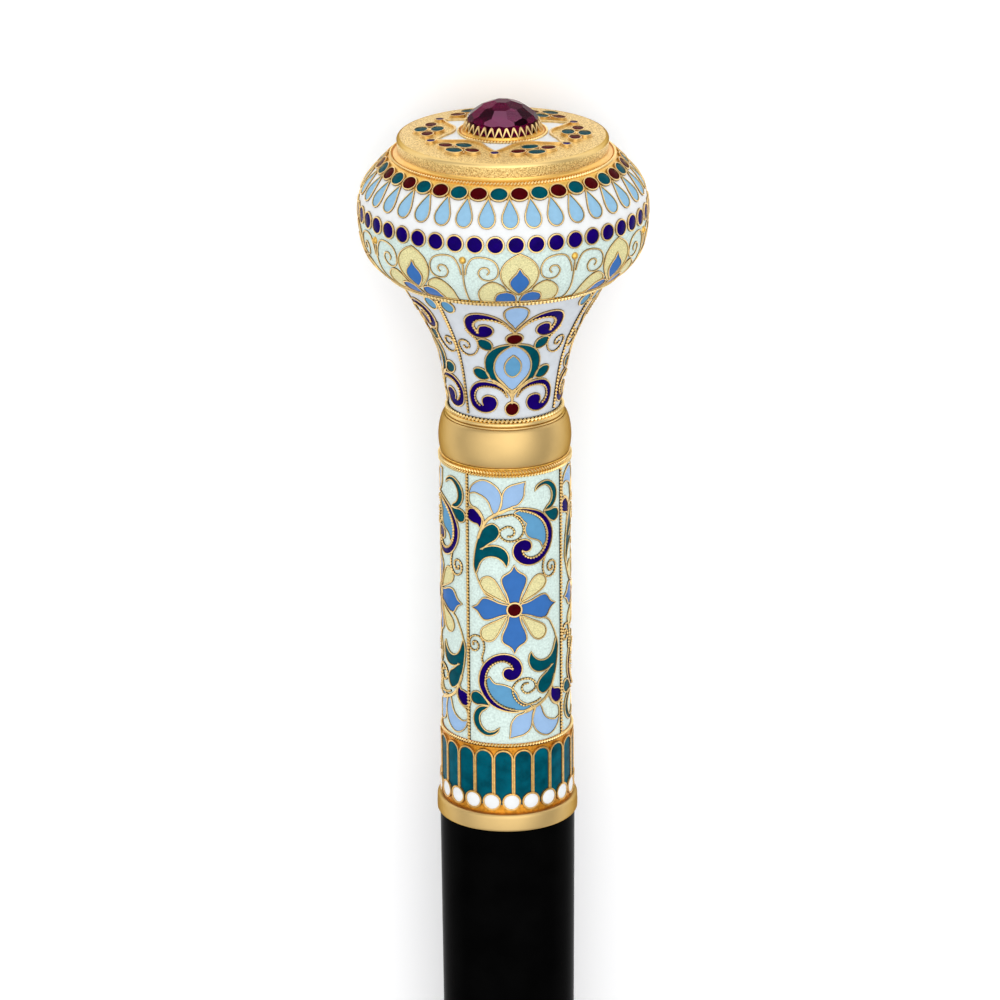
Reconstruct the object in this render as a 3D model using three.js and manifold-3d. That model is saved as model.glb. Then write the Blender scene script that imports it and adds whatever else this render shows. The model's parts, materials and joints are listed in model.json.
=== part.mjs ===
// A dress staff: an enamelled, gem-set knob and handle on a tapered, lacquered wooden shaft.
//
// Units are millimetres. Every round piece is turned about the staff's own Y axis, which runs
// from the foot (y = 0) to the head. Heights on the handle are measured from the handle's lower
// edge, where the shaft enters it. The finished staff lies on its side with its head toward +Y:
// it rests on a small flat under the knob and another under the ferrule, so that it can't roll,
// and that tips the axis up by about one degree toward the head.

import * as THREE from 'three';
import { mergeVertices } from 'three/addons/utils/BufferGeometryUtils.js';
import Module from 'manifold-3d';

const wasm = await Module();
wasm.setup();

// ---- Driving dimensions ----------------------------------------------------------------------

const TOTAL_LENGTH = 915; // foot to the top of the stone
const HANDLE_LENGTH = 116.1; // lower edge of the band to the top of the stone
const HANDLE_START = TOTAL_LENGTH - HANDLE_LENGTH;
const GAP = 0.3; // clearance between neighbouring pieces
const FLAT_DEPTH = 0.3; // how deep the two resting flats are cut
const ROPE = 0.3; // radius of a twisted wire

const FOOT = { radius: 6.3, topRadius: 6.75, length: 32, edge: 0.6 };
const FOOT_GROOVE = { bottom: 27, top: 28, radius: 6.35 };
const SHAFT = { footRadius: 6.45, topRadius: 10.69 };

// Heights below are measured from the handle's lower edge, radii from the axis. Where a twisted
// wire lies between two pieces, one of them has a narrower seat that reaches in behind the wire.
const BAND = { bottom: 0, top: 2.8, radius: 11.15, edge: 0.45 };
const ARCADE = { bottom: 3.1, top: 13.7, radius: 10.6, edge: 0.25 };
const SLEEVE = { seatBottom: 14, bottom: 14.9, top: 58.6, seatTop: 60.1, radius: 10.3 };
const SLEEVE_SEAT = { radius: 9.4 };
const COLLAR = { bottom: 60.4, top: 66.3, footRadius: 10, radius: 10.45, shoulderRadius: 9.4 };
const NECK = { bottom: 68.2, top: 88.5, footRadius: 8.79, topRadius: 16.35 };
const NECK_SEAT = { bottom: 66.6, top: 89.7, footRadius: 8.05, topRadius: 15.8 };
const KNOB = { bottom: 90, widest: 98.8, shoulder: 107.85, top: 107.3 };
const KNOB_RADIUS = { rim: 18.2, widest: 22.4, shoulder: 17.6 };
const DISC = { bottom: 107.6, flange: 108.2, side: 109.3, edge: 110.5, top: 111.2, radius: 16.2 };
const DISC_SEAT = { radius: 16, flangeRadius: 16.6 };
const STAR = { points: 6, reach: 11.2, waist: 7.3, depth: 0.25, turn: -6 };
const QUATREFOIL = { ring: 11.25, height: 1, turn: 24 };
const SIDE_CELL = { across: 2.2, along: 1.7, offset: 2.4 };
const RADIAL_CELL = { across: 2.7, along: 2.1, offset: 1.25 };
const STUD = { ring: 11.9, radius: 0.8, height: 0.6, turn: -6 };
const BEZEL = { bottom: 111.5, shoulder: 111.95, top: 113.2, teeth: 28 };
const BEZEL_RADIUS = { flange: 6.4, outer: 6.05, inner: 5.72 };
const STONE = { bottom: 111.5, top: HANDLE_LENGTH, radius: 5.42, domeRadius: 6.75 };

// Twisted and plain wires: the height and radius of the ring's centre line.
const WIRES = [
  { name: 'sleeve_lower_rope', height: 14.3, radius: 10.15, wire: ROPE },
  { name: 'sleeve_upper_rope', height: 59.2, radius: 10.1, wire: ROPE },
  { name: 'sleeve_wire', height: 59.95, radius: 9.95, wire: 0.2 },
  { name: 'neck_ring', height: 66.95, radius: 8.75, wire: 0.35 },
  { name: 'neck_lower_rope', height: 67.75, radius: 8.75, wire: 0.24 },
  { name: 'neck_upper_rope', height: 88.9, radius: 16.75, wire: ROPE },
  { name: 'knob_lower_rope', height: 89.4, radius: 17.75, wire: ROPE },
  { name: 'disc_rope', height: 107.75, radius: 16.9, wire: ROPE },
  { name: 'bezel_rope', height: 111.75, radius: 6.95, wire: 0.25 },
];

const ROUND = 36; // sides of a turned piece
const FINE = 44; // sides of the knob and the disc
const CURVE_STEPS = 4; // straight steps along each curved stretch of a section

// ---- Materials -------------------------------------------------------------------------------

const gilt = { color: 0xe8bf62, roughness: 0.28, metalness: 1 };
const stippled = { color: 0xdcb768, roughness: 0.6, metalness: 0.9 };
const mintEnamel = { color: 0xcde8e0, roughness: 0.25, metalness: 0 };
const whiteEnamel = { color: 0xeeeef4, roughness: 0.2, metalness: 0 };
const tealEnamel = { color: 0x04606a, roughness: 0.2, metalness: 0 };
const blueEnamel = { color: 0x2a2370, roughness: 0.2, metalness: 0 };
const lacquer = { color: 0x070708, roughness: 0.15, metalness: 0 };
const amethyst = { color: 0x4b1446, roughness: 0.05, metalness: 0 };

// ---- Shape helpers ---------------------------------------------------------------------------

const radians = THREE.MathUtils.degToRad;
const staff = new THREE.Group();

function addPiece(name, geometry, finish, height = 0) {
  const piece = new THREE.Mesh(geometry, new THREE.MeshStandardMaterial(finish));
  piece.name = name;
  piece.position.y = height;
  staff.add(piece);
  return piece;
}

// A half section, drawn from the axis and back to it, turned into a solid.
function turned(section, sides = ROUND, curveSteps = CURVE_STEPS) {
  return new THREE.LatheGeometry(section.getPoints(curveSteps), sides);
}

// A wire bent into a ring round the staff's axis.
function wireRing(radius, wire, wireSides = 4) {
  return new THREE.TorusGeometry(radius, wire, wireSides, ROUND).rotateX(Math.PI / 2);
}

// A flat outline extruded along the staff's axis from one height to another. The outline's x is
// the staff's x, and its y is the staff's z.
function upright(outline, bottom, top, curveSegments = 4) {
  const options = { depth: top - bottom, bevelEnabled: false, curveSegments };
  return new THREE.ExtrudeGeometry(outline, options).rotateX(Math.PI / 2).translate(0, top, 0);
}

function toSolid(geometry) {
  const bare = geometry.clone();
  bare.deleteAttribute('normal');
  bare.deleteAttribute('uv');
  const welded = mergeVertices(bare, 1e-4);
  const triangles = [];
  const corners = welded.index.array;
  for (let i = 0; i < corners.length; i += 3) {
    const [a, b, c] = corners.slice(i, i + 3);
    const isFlattened = a === b || b === c || c === a;
    if (!isFlattened) triangles.push(a, b, c);
  }
  const vertProperties = new Float32Array(welded.attributes.position.array);
  const triVerts = new Uint32Array(triangles);
  return new wasm.Manifold(new wasm.Mesh({ numProp: 3, vertProperties, triVerts }));
}

function fromSolid(solid) {
  const mesh = solid.getMesh();
  const geometry = new THREE.BufferGeometry();
  geometry.setAttribute('position', new THREE.BufferAttribute(mesh.vertProperties, 3));
  geometry.setIndex(new THREE.BufferAttribute(mesh.triVerts, 1));
  return geometry;
}

// ---- The surface that the staff lies on ------------------------------------------------------

// Seen from the side, the ground is a straight line that passes FLAT_DEPTH inside the knob's
// widest ring and inside the ferrule's end.
const knobHeight = HANDLE_START + KNOB.widest;
const footReach = FOOT.radius - FLAT_DEPTH;
const knobReach = KNOB_RADIUS.widest - FLAT_DEPTH;
const TILT = Math.atan((knobReach - footReach) / knobHeight);

// Takes off whatever of a piece would lie below the ground. `height` is where the piece's own
// origin sits on the staff.
function flattened(geometry, height) {
  const thickness = 20;
  const ground = new THREE.BoxGeometry(60, 2 * TOTAL_LENGTH, thickness);
  ground.translate(0, 0, -thickness / 2 - footReach * Math.cos(TILT));
  ground.rotateX(-TILT);
  ground.translate(0, -height, 0);
  return fromSolid(toSolid(geometry).subtract(toSolid(ground)));
}

// ---- Shaft and ferrule -----------------------------------------------------------------------

// A plain tapered cup with one turned groove below its rim.
function makeFerrule() {
  const section = new THREE.Path();
  const { radius, topRadius, length, edge } = FOOT;
  const wall = (height) => THREE.MathUtils.mapLinear(height, edge, length, radius, topRadius);
  section.moveTo(0, 0);
  section.lineTo(radius - edge, 0);
  section.quadraticCurveTo(radius, 0, radius, edge);
  section.lineTo(wall(FOOT_GROOVE.bottom), FOOT_GROOVE.bottom);
  section.lineTo(FOOT_GROOVE.radius, FOOT_GROOVE.bottom + 0.25);
  section.lineTo(FOOT_GROOVE.radius, FOOT_GROOVE.top - 0.25);
  section.lineTo(wall(FOOT_GROOVE.top), FOOT_GROOVE.top);
  section.lineTo(topRadius, length);
  section.lineTo(0, length);
  return flattened(turned(section, ROUND, 3), 0);
}

function makeShaft() {
  const section = new THREE.Path();
  const bottom = FOOT.length + GAP;
  const top = HANDLE_START - GAP;
  section.moveTo(0, bottom);
  section.lineTo(SHAFT.footRadius, bottom);
  section.lineTo(SHAFT.topRadius, top);
  section.lineTo(0, top);
  return turned(section);
}

addPiece('ferrule', makeFerrule(), gilt);
addPiece('shaft', makeShaft(), lacquer);

// ---- Band, arcade ring and sleeve ------------------------------------------------------------

// A short cylinder whose two edges are eased by the same small round.
function easedCylinder({ bottom, top, radius, edge }, edgeSteps) {
  const section = new THREE.Path();
  section.moveTo(0, bottom);
  section.lineTo(radius - edge, bottom);
  section.quadraticCurveTo(radius, bottom, radius, bottom + edge);
  section.lineTo(radius, top - edge);
  section.quadraticCurveTo(radius, top, radius - edge, top);
  section.lineTo(0, top);
  return turned(section, ROUND, edgeSteps);
}

function makeSleeve() {
  const section = new THREE.Path();
  section.moveTo(0, SLEEVE.seatBottom);
  section.lineTo(SLEEVE_SEAT.radius, SLEEVE.seatBottom);
  section.lineTo(SLEEVE_SEAT.radius, SLEEVE.bottom);
  section.lineTo(SLEEVE.radius, SLEEVE.bottom);
  section.lineTo(SLEEVE.radius, SLEEVE.top);
  section.lineTo(SLEEVE_SEAT.radius, SLEEVE.top);
  section.lineTo(SLEEVE_SEAT.radius, SLEEVE.seatTop);
  section.lineTo(0, SLEEVE.seatTop);
  return turned(section);
}

addPiece('band', easedCylinder(BAND, 2), gilt, HANDLE_START);
addPiece('arcade_ring', easedCylinder(ARCADE, 1), tealEnamel, HANDLE_START);
addPiece('sleeve', makeSleeve(), mintEnamel, HANDLE_START);

// ---- Collar and neck -------------------------------------------------------------------------

function makeCollar() {
  const section = new THREE.Path();
  const { bottom, top, footRadius, radius, shoulderRadius } = COLLAR;
  const middle = (bottom + top) / 2;
  const bulge = 1.5;
  section.moveTo(0, bottom);
  section.lineTo(footRadius - 0.3, bottom);
  section.bezierCurveTo(footRadius + 0.2, bottom, radius, middle - bulge, radius, middle);
  section.bezierCurveTo(radius, middle + bulge, shoulderRadius + 0.7, top, shoulderRadius, top);
  section.lineTo(0, top);
  return turned(section);
}

// The flare starts almost straight at the collar and sweeps out under the knob.
function makeNeck() {
  const section = new THREE.Path();
  section.moveTo(0, NECK_SEAT.bottom);
  section.lineTo(NECK_SEAT.footRadius, NECK_SEAT.bottom);
  section.lineTo(NECK_SEAT.footRadius, NECK.bottom);
  section.lineTo(NECK.footRadius, NECK.bottom);
  section.bezierCurveTo(10.23, 77, 10.15, 78.8, NECK.topRadius, NECK.top);
  section.lineTo(NECK_SEAT.topRadius, NECK.top);
  section.lineTo(NECK_SEAT.topRadius, NECK_SEAT.top);
  section.lineTo(0, NECK_SEAT.top);
  return turned(section);
}

addPiece('collar', makeCollar(), gilt, HANDLE_START);
addPiece('neck', makeNeck(), whiteEnamel, HANDLE_START);

// ---- Knob ------------------------------------------------------------------------------------

function makeKnob() {
  const section = new THREE.Path();
  const { bottom, widest, shoulder, top } = KNOB;
  const rim = KNOB_RADIUS.rim;
  const girth = KNOB_RADIUS.widest;
  const crown = KNOB_RADIUS.shoulder;
  section.moveTo(0, bottom);
  section.lineTo(rim, bottom);
  section.bezierCurveTo(rim + 2.9, bottom + 1.7, girth, widest - 4.9, girth, widest);
  section.bezierCurveTo(girth, widest + 4.83, crown + 3.57, shoulder - 3.57, crown, shoulder);
  section.lineTo(crown - 0.3, top);
  section.lineTo(0, top);
  return flattened(turned(section, FINE), HANDLE_START);
}

addPiece('knob', makeKnob(), blueEnamel, HANDLE_START);

// ---- Top disc --------------------------------------------------------------------------------

// The star's points run out between six rounded lobes. It is sunk a little into the disc.
function makeStarField() {
  const outline = new THREE.Shape();
  const pointAt = (radius, degrees) => {
    return new THREE.Vector2(radius * Math.sin(radians(degrees)), radius * Math.cos(radians(degrees)));
  };
  const step = 360 / STAR.points;
  const chordMiddle = STAR.reach * Math.cos(radians(step / 2));
  const pull = 2 * STAR.waist - chordMiddle;
  const first = pointAt(STAR.reach, STAR.turn);
  outline.moveTo(first.x, first.y);
  for (let i = 1; i <= STAR.points; i += 1) {
    const middle = pointAt(pull, STAR.turn + (i - 0.5) * step);
    const tip = pointAt(STAR.reach, STAR.turn + i * step);
    outline.quadraticCurveTo(middle.x, middle.y, tip.x, tip.y);
  }
  return upright(outline, DISC.top - STAR.depth, DISC.top + 1);
}

function makeDisc() {
  const section = new THREE.Path();
  const { bottom, flange, side, edge, top, radius } = DISC;
  section.moveTo(0, bottom);
  section.lineTo(DISC_SEAT.radius, bottom);
  section.lineTo(DISC_SEAT.radius, flange);
  section.lineTo(DISC_SEAT.flangeRadius, flange);
  section.quadraticCurveTo(radius, flange + 0.2, radius, side);
  section.lineTo(radius, edge);
  section.lineTo(radius - 0.5, edge + 0.3);
  section.quadraticCurveTo(radius * 0.75, top, radius * 0.5, top);
  section.lineTo(0, top);
  return fromSolid(toSolid(turned(section, FINE, 2)).subtract(toSolid(makeStarField())));
}

function ovalCell({ across, along }, sideways, outward) {
  const outline = new THREE.Shape();
  outline.absellipse(sideways, outward, across / 2, along / 2, 0, 2 * Math.PI);
  return toSolid(upright(outline, 0, QUATREFOIL.height));
}

// Four oval cells round a small central post, which joins them.
function makeQuatrefoil() {
  const post = new THREE.Shape();
  post.absellipse(0, 0, 1.4, 0.5, 0, 2 * Math.PI);
  const cells = [
    ovalCell(SIDE_CELL, -SIDE_CELL.offset, 0),
    ovalCell(SIDE_CELL, SIDE_CELL.offset, 0),
    ovalCell(RADIAL_CELL, 0, -RADIAL_CELL.offset),
    ovalCell(RADIAL_CELL, 0, RADIAL_CELL.offset),
  ];
  const start = toSolid(upright(post, 0, QUATREFOIL.height / 2));
  return fromSolid(cells.reduce((joined, cell) => joined.add(cell), start));
}

const onDisc = HANDLE_START + DISC.top + GAP;
const quatrefoil = makeQuatrefoil().translate(0, 0, QUATREFOIL.ring);
const stud = new THREE.CylinderGeometry(STUD.radius, STUD.radius, STUD.height, 10);
stud.translate(0, STUD.height / 2, STUD.ring);

addPiece('top_disc', makeDisc(), stippled, HANDLE_START);
for (let i = 0; i < STAR.points; i += 1) {
  const turn = (360 / STAR.points) * i;
  addPiece(`quatrefoil_${i + 1}`, quatrefoil, gilt, onDisc).rotation.y = radians(QUATREFOIL.turn + turn);
  addPiece(`stud_${i + 1}`, stud, gilt, onDisc).rotation.y = radians(STUD.turn + turn);
}

// ---- Stone and bezel -------------------------------------------------------------------------

// A collet with a foot flange, its upper edge cut into pointed teeth.
function makeBezel() {
  const section = new THREE.Path();
  const { bottom, shoulder, top, teeth } = BEZEL;
  const { flange, outer, inner } = BEZEL_RADIUS;
  section.moveTo(inner, bottom);
  section.lineTo(flange, bottom);
  section.lineTo(flange, shoulder - 0.1);
  section.lineTo(outer, shoulder);
  section.lineTo(outer, top);
  section.lineTo(inner, top);
  section.lineTo(inner, bottom);
  let collet = toSolid(turned(section, teeth, 1));
  const halfPitch = (Math.PI * outer) / teeth;
  const notch = new THREE.Shape();
  notch.moveTo(0, shoulder + 0.25);
  notch.lineTo(halfPitch * 1.1, top + 0.2);
  notch.lineTo(-halfPitch * 1.1, top + 0.2);
  const wedge = new THREE.ExtrudeGeometry(notch, { depth: 2, bevelEnabled: false });
  wedge.translate(0, 0, outer - 1);
  for (let i = 0; i < teeth; i += 1) {
    const cutter = wedge.clone().rotateY((2 * Math.PI * i) / teeth);
    collet = collet.subtract(toSolid(cutter));
  }
  return fromSolid(collet);
}

// A round blank whose top is trimmed by rings of flat facets that all touch one sphere.
function makeStone() {
  const blank = new THREE.CylinderGeometry(STONE.radius, STONE.radius, STONE.domeRadius, 28);
  blank.translate(0, STONE.bottom + STONE.domeRadius / 2, 0);
  let stone = toSolid(blank);
  const centre = STONE.top - STONE.domeRadius;
  const rings = [
    { facets: 1, slope: 0 },
    { facets: 6, slope: 20 },
    { facets: 12, slope: 37 },
    { facets: 14, slope: 54 },
  ];
  for (const { facets, slope } of rings) {
    for (let i = 0; i < facets; i += 1) {
      const turn = (2 * Math.PI * (i + 0.5)) / facets;
      const outward = new THREE.Vector3(0, 1, 0);
      outward.applyAxisAngle(new THREE.Vector3(1, 0, 0), radians(slope));
      outward.applyAxisAngle(new THREE.Vector3(0, 1, 0), turn);
      const reach = STONE.domeRadius + outward.y * centre;
      stone = stone.trimByPlane([-outward.x, -outward.y, -outward.z], -reach);
    }
  }
  return fromSolid(stone);
}

addPiece('bezel', makeBezel(), gilt, HANDLE_START);
addPiece('stone', makeStone(), amethyst, HANDLE_START);

// ---- Twisted and plain wires -----------------------------------------------------------------

for (const { name, height, radius, wire } of WIRES) {
  addPiece(name, wireRing(radius, wire), gilt, HANDLE_START + height);
}

// ---- Laying it down --------------------------------------------------------------------------

staff.rotation.x = TILT;
const bounds = new THREE.Box3().setFromObject(staff, true);
staff.position.y = -(bounds.min.y + bounds.max.y) / 2;
staff.position.z = -bounds.min.z;

export default staff;
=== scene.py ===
# %% [markdown]
# # An enamelled dress staff
# The staff is a lacquered wooden shaft with a gilt and enamelled handle. A goldsmith solders thin
# wires onto gilt metal, fills the cells between them with coloured glass powder and fires it. This
# lesson builds it the same way: smooth turned bodies first, then wires laid on them, then enamel
# in the cells between the wires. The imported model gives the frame, and every size starts there.

# %% Load the frame
import json
import math

import bmesh
import bpy
import numpy as np
from mathutils import Matrix, Vector, geometry


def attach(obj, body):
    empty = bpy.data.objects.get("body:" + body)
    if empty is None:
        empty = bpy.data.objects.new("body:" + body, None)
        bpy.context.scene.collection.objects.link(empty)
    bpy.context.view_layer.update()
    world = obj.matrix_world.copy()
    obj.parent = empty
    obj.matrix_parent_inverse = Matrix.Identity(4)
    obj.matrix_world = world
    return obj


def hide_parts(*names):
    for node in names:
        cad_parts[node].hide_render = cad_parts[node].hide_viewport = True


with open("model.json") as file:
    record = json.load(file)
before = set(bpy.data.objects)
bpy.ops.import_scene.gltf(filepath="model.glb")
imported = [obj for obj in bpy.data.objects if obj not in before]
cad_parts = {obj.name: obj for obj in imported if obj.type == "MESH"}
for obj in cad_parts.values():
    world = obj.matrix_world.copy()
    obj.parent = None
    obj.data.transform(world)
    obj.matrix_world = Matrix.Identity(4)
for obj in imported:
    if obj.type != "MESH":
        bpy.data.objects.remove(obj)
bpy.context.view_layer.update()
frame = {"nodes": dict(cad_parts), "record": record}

print("frame nodes:", len(frame["nodes"]))

# %% [markdown]
# The staff lies on its side and is tipped up by about a degree, so world X, Y and Z are awkward
# to build in. Everything here is laid out in the staff's own terms instead: a height along the
# axis in millimetres, a radius, and an angle round it, where 0 degrees faces straight up and
# angles grow toward +X. The foot's mount gives the axis, and the band's edge starts the handle.

# %% The staff's own axis
foot_mount = next(m for m in frame["record"]["mounts"] if m["name"] == "foot_end")
FOOT = np.array(foot_mount["pos_m"], float)
ALONG = -np.array(foot_mount["axis"], float)
ALONG /= np.linalg.norm(ALONG)
ACROSS = np.array([1.0, 0.0, 0.0])
OUTWARD = np.cross(ACROSS, ALONG)
MM = 0.001


def span(node):
    """Lowest height, highest height and largest radius of a node, in mm along the staff."""
    mesh = frame["nodes"][node].data
    points = np.array([v.co for v in mesh.vertices], float) - FOOT
    heights = points @ ALONG
    radii = np.linalg.norm(points - np.outer(heights, ALONG), axis=1)
    return heights.min() / MM, heights.max() / MM, radii.max() / MM


HANDLE = span("band")[0]


def to_world(radius, degrees, height):
    """Points at a radius and height (mm, counted from the handle's lower edge) round the axis."""
    angle = np.radians(degrees)
    radius = np.asarray(radius, float)[..., None]
    height = np.asarray(height, float)[..., None]
    out = np.sin(angle)[..., None] * ACROSS + np.cos(angle)[..., None] * OUTWARD
    return FOOT + MM * ((height + HANDLE) * ALONG + radius * out)


print("handle starts", round(HANDLE, 2), "mm above the foot")

# %% [markdown]
# The camera stands over the lying staff at the angle from which a seller would picture it
# standing: about twenty degrees above square, looking a little onto the knob. A long lens from
# 850 mm away keeps the staff's sides nearly parallel.

# %% Camera
VIEW_DISTANCE = 850
VIEW_LIFT = math.radians(19.8)
VIEW_ROLL = math.radians(0.433)
VIEW_HEIGHT = 51.6
VIEW_SHIFT = -0.83
LENS_ANGLE = 1000 / 5440

toward = math.sin(VIEW_LIFT) * ALONG + math.cos(VIEW_LIFT) * OUTWARD
plain_up = math.cos(VIEW_LIFT) * ALONG - math.sin(VIEW_LIFT) * OUTWARD
right = math.cos(VIEW_ROLL) * ACROSS - math.sin(VIEW_ROLL) * plain_up
up = math.sin(VIEW_ROLL) * ACROSS + math.cos(VIEW_ROLL) * plain_up
target = to_world(0.0, 0.0, VIEW_HEIGHT) + MM * VIEW_SHIFT * right

camera_data = bpy.data.cameras.new("camera")
camera_data.sensor_width = 36
camera_data.lens = 36 / LENS_ANGLE
camera = bpy.data.objects.new("camera", camera_data)
bpy.context.scene.collection.objects.link(camera)
stand = target + MM * VIEW_DISTANCE * toward
camera.matrix_world = Matrix([*zip(right, up, toward, stand), (0, 0, 0, 1)])
bpy.context.scene.camera = camera
print("camera lens", round(camera_data.lens, 1), "mm")

# %% [markdown]
# Gilt metal and glossy enamel only look right when they have something soft to mirror. A dome of
# light surrounds the staff, dim near the horizon and bright overhead, and its gradient draws the
# long highlights on every round part. Three faint suns, as wide as softboxes, add a little shape:
# one overhead, one from the left and one from beyond the head. Single lamps would have made hard
# sparks instead. The floor is a plain pale sheet that glows very slightly, so shadows stay faint.

# %% Floor and studio light
scene = bpy.context.scene
scene.view_settings.view_transform = "Standard"
scene.view_settings.look = "None"


FLOOR_HALF = 20.0
FLOOR_GLOW = 0.09


def floor_paint(name, colour, roughness):
    """Pale paint with a trace of unevenness in its colour."""
    material = bpy.data.materials.new(name)
    material.use_nodes = True
    nodes, links = material.node_tree.nodes, material.node_tree.links
    shader = nodes["Principled BSDF"]
    noise = nodes.new("ShaderNodeTexNoise")
    noise.inputs["Scale"].default_value = 3
    ramp = nodes.new("ShaderNodeValToRGB")
    ramp.color_ramp.elements[0].color = (*[c * 0.985 for c in colour], 1)
    ramp.color_ramp.elements[1].color = (*colour, 1)
    links.new(noise.outputs["Fac"], ramp.inputs["Fac"])
    links.new(ramp.outputs["Color"], shader.inputs["Base Color"])
    shader.inputs["Roughness"].default_value = roughness
    shader.inputs["Specular IOR Level"].default_value = 0.1
    shader.inputs["Emission Color"].default_value = (1, 1, 1, 1)
    shader.inputs["Emission Strength"].default_value = FLOOR_GLOW
    return material


floor_mesh = bpy.data.meshes.new("floor")
corners = [(x * FLOOR_HALF, y * FLOOR_HALF, 0) for x, y in ((-1, -1), (1, -1), (1, 1), (-1, 1))]
floor_mesh.from_pydata(corners, [], [(0, 1, 2, 3)])
floor = bpy.data.objects.new("floor", floor_mesh)
scene.collection.objects.link(floor)
floor_mesh.materials.append(floor_paint("pale floor", (0.97, 0.97, 0.97), 0.9))


def sky_dome(stops):
    """A soft dome of light: (height of the sky, brightness) from the horizon to overhead."""
    world = bpy.data.worlds.new("studio")
    world.use_nodes = True
    tree = world.node_tree
    direction = tree.nodes.new("ShaderNodeTexCoord")
    parts = tree.nodes.new("ShaderNodeSeparateXYZ")
    ramp = tree.nodes.new("ShaderNodeValToRGB")
    tree.links.new(direction.outputs["Generated"], parts.inputs["Vector"])
    tree.links.new(parts.outputs["Z"], ramp.inputs["Fac"])
    tree.links.new(ramp.outputs["Color"], tree.nodes["Background"].inputs["Color"])
    while len(ramp.color_ramp.elements) < len(stops):
        ramp.color_ramp.elements.new(0.5)
    for element, (place, brightness) in zip(ramp.color_ramp.elements, stops):
        element.position = place
        element.color = (brightness, brightness, brightness * 1.01, 1)
    return world


def soft_sun(name, came_from, strength):
    """A very wide sun that shines from a direction."""
    light_data = bpy.data.lights.new(name, "SUN")
    light_data.angle = math.radians(SUN_SPREAD)
    light_data.energy = strength
    light = bpy.data.objects.new(name, light_data)
    light.rotation_mode = "QUATERNION"
    light.rotation_quaternion = Vector(came_from).to_track_quat("Z", "Y")
    scene.collection.objects.link(light)


SKY_FULL = 2.5
SUN_SPREAD = 60
SKY = [(0.0, 0.6), (0.3, 0.55), (0.55, 0.7), (0.75, 1.05), (0.9, 1.4), (1.0, 1.5)]
scene.world = sky_dome([(height, brightness / SKY_FULL) for height, brightness in SKY])
scene.world.node_tree.nodes["Background"].inputs["Strength"].default_value = SKY_FULL
soft_sun("key_light", (0.3, 0.25, 1.0), 0.55)
soft_sun("fill_light", (-0.8, -0.1, 0.8), 0.25)
soft_sun("head_light", (0.1, 1.0, 0.45), 0.5)
print("lights:", len(bpy.data.lights))

# %% [markdown]
# Every finish is a small node network. Enamel is coloured glass: a deep, even colour that clouds
# a little where the powder lay thicker, under a hard gloss. Noise on the object's own coordinates
# makes the clouds, so they stay in place from every side.

# %% Enamel finishes
def srgb(red, green, blue):
    """A screen colour, 0 to 255 a channel, as the linear values that a shader takes."""
    channels = np.array([red, green, blue]) / 255
    linear = np.where(channels <= 0.04045, channels / 12.92, ((channels + 0.055) / 1.055) ** 2.4)
    return tuple(float(c) for c in linear)


def start_material(name, roughness, metallic=0.0):
    """An empty finish, with its node tree, its shader and its coordinates."""
    material = bpy.data.materials.new(name)
    material.use_nodes = True
    shader = material.node_tree.nodes["Principled BSDF"]
    shader.inputs["Roughness"].default_value = roughness
    shader.inputs["Metallic"].default_value = metallic
    coordinates = material.node_tree.nodes.new("ShaderNodeTexCoord")
    return material, material.node_tree, shader, coordinates


def add_noise(tree, coordinates, size, detail):
    """Noise whose patches are about `size` mm across."""
    noise = tree.nodes.new("ShaderNodeTexNoise")
    noise.inputs["Scale"].default_value = 1 / (size * MM)
    noise.inputs["Detail"].default_value = detail
    tree.links.new(coordinates.outputs["Object"], noise.inputs["Vector"])
    return noise


def add_ramp(tree, source, stops):
    """A colour ramp from (position, colour) stops, fed by a node's factor."""
    ramp = tree.nodes.new("ShaderNodeValToRGB")
    elements = ramp.color_ramp.elements
    while len(elements) < len(stops):
        elements.new(0.5)
    for element, (position, colour) in zip(elements, stops):
        element.position = position
        element.color = (*colour, 1)
    tree.links.new(source, ramp.inputs["Fac"])
    return ramp


def add_bump(tree, shader, source, height):
    """Relief of a few micrometres from a node's factor."""
    bump = tree.nodes.new("ShaderNodeBump")
    bump.inputs["Distance"].default_value = height * MM
    bump.inputs["Strength"].default_value = 1.0
    tree.links.new(source, bump.inputs["Height"])
    tree.links.new(bump.outputs["Normal"], shader.inputs["Normal"])


def shade(colour, factor):
    """The same colour, darker or lighter."""
    return tuple(min(1.0, c * factor) for c in colour)


def enamel(name, colour, cloud, patch, roughness=0.16, relief=0.004, gloss=0.015):
    """Fired glass: the colour drifts by `cloud` over patches about `patch` mm across."""
    material, tree, shader, coordinates = start_material(name, roughness)
    noise = add_noise(tree, coordinates, patch, detail=4)
    stops = [(0.3, shade(colour, 1 - cloud)), (0.5, colour), (0.72, shade(colour, 1 + cloud))]
    ramp = add_ramp(tree, noise.outputs["Fac"], stops)
    tree.links.new(ramp.outputs["Color"], shader.inputs["Base Color"])
    add_bump(tree, shader, noise.outputs["Fac"], relief)
    shader.inputs["Specular IOR Level"].default_value = gloss
    return material


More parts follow.
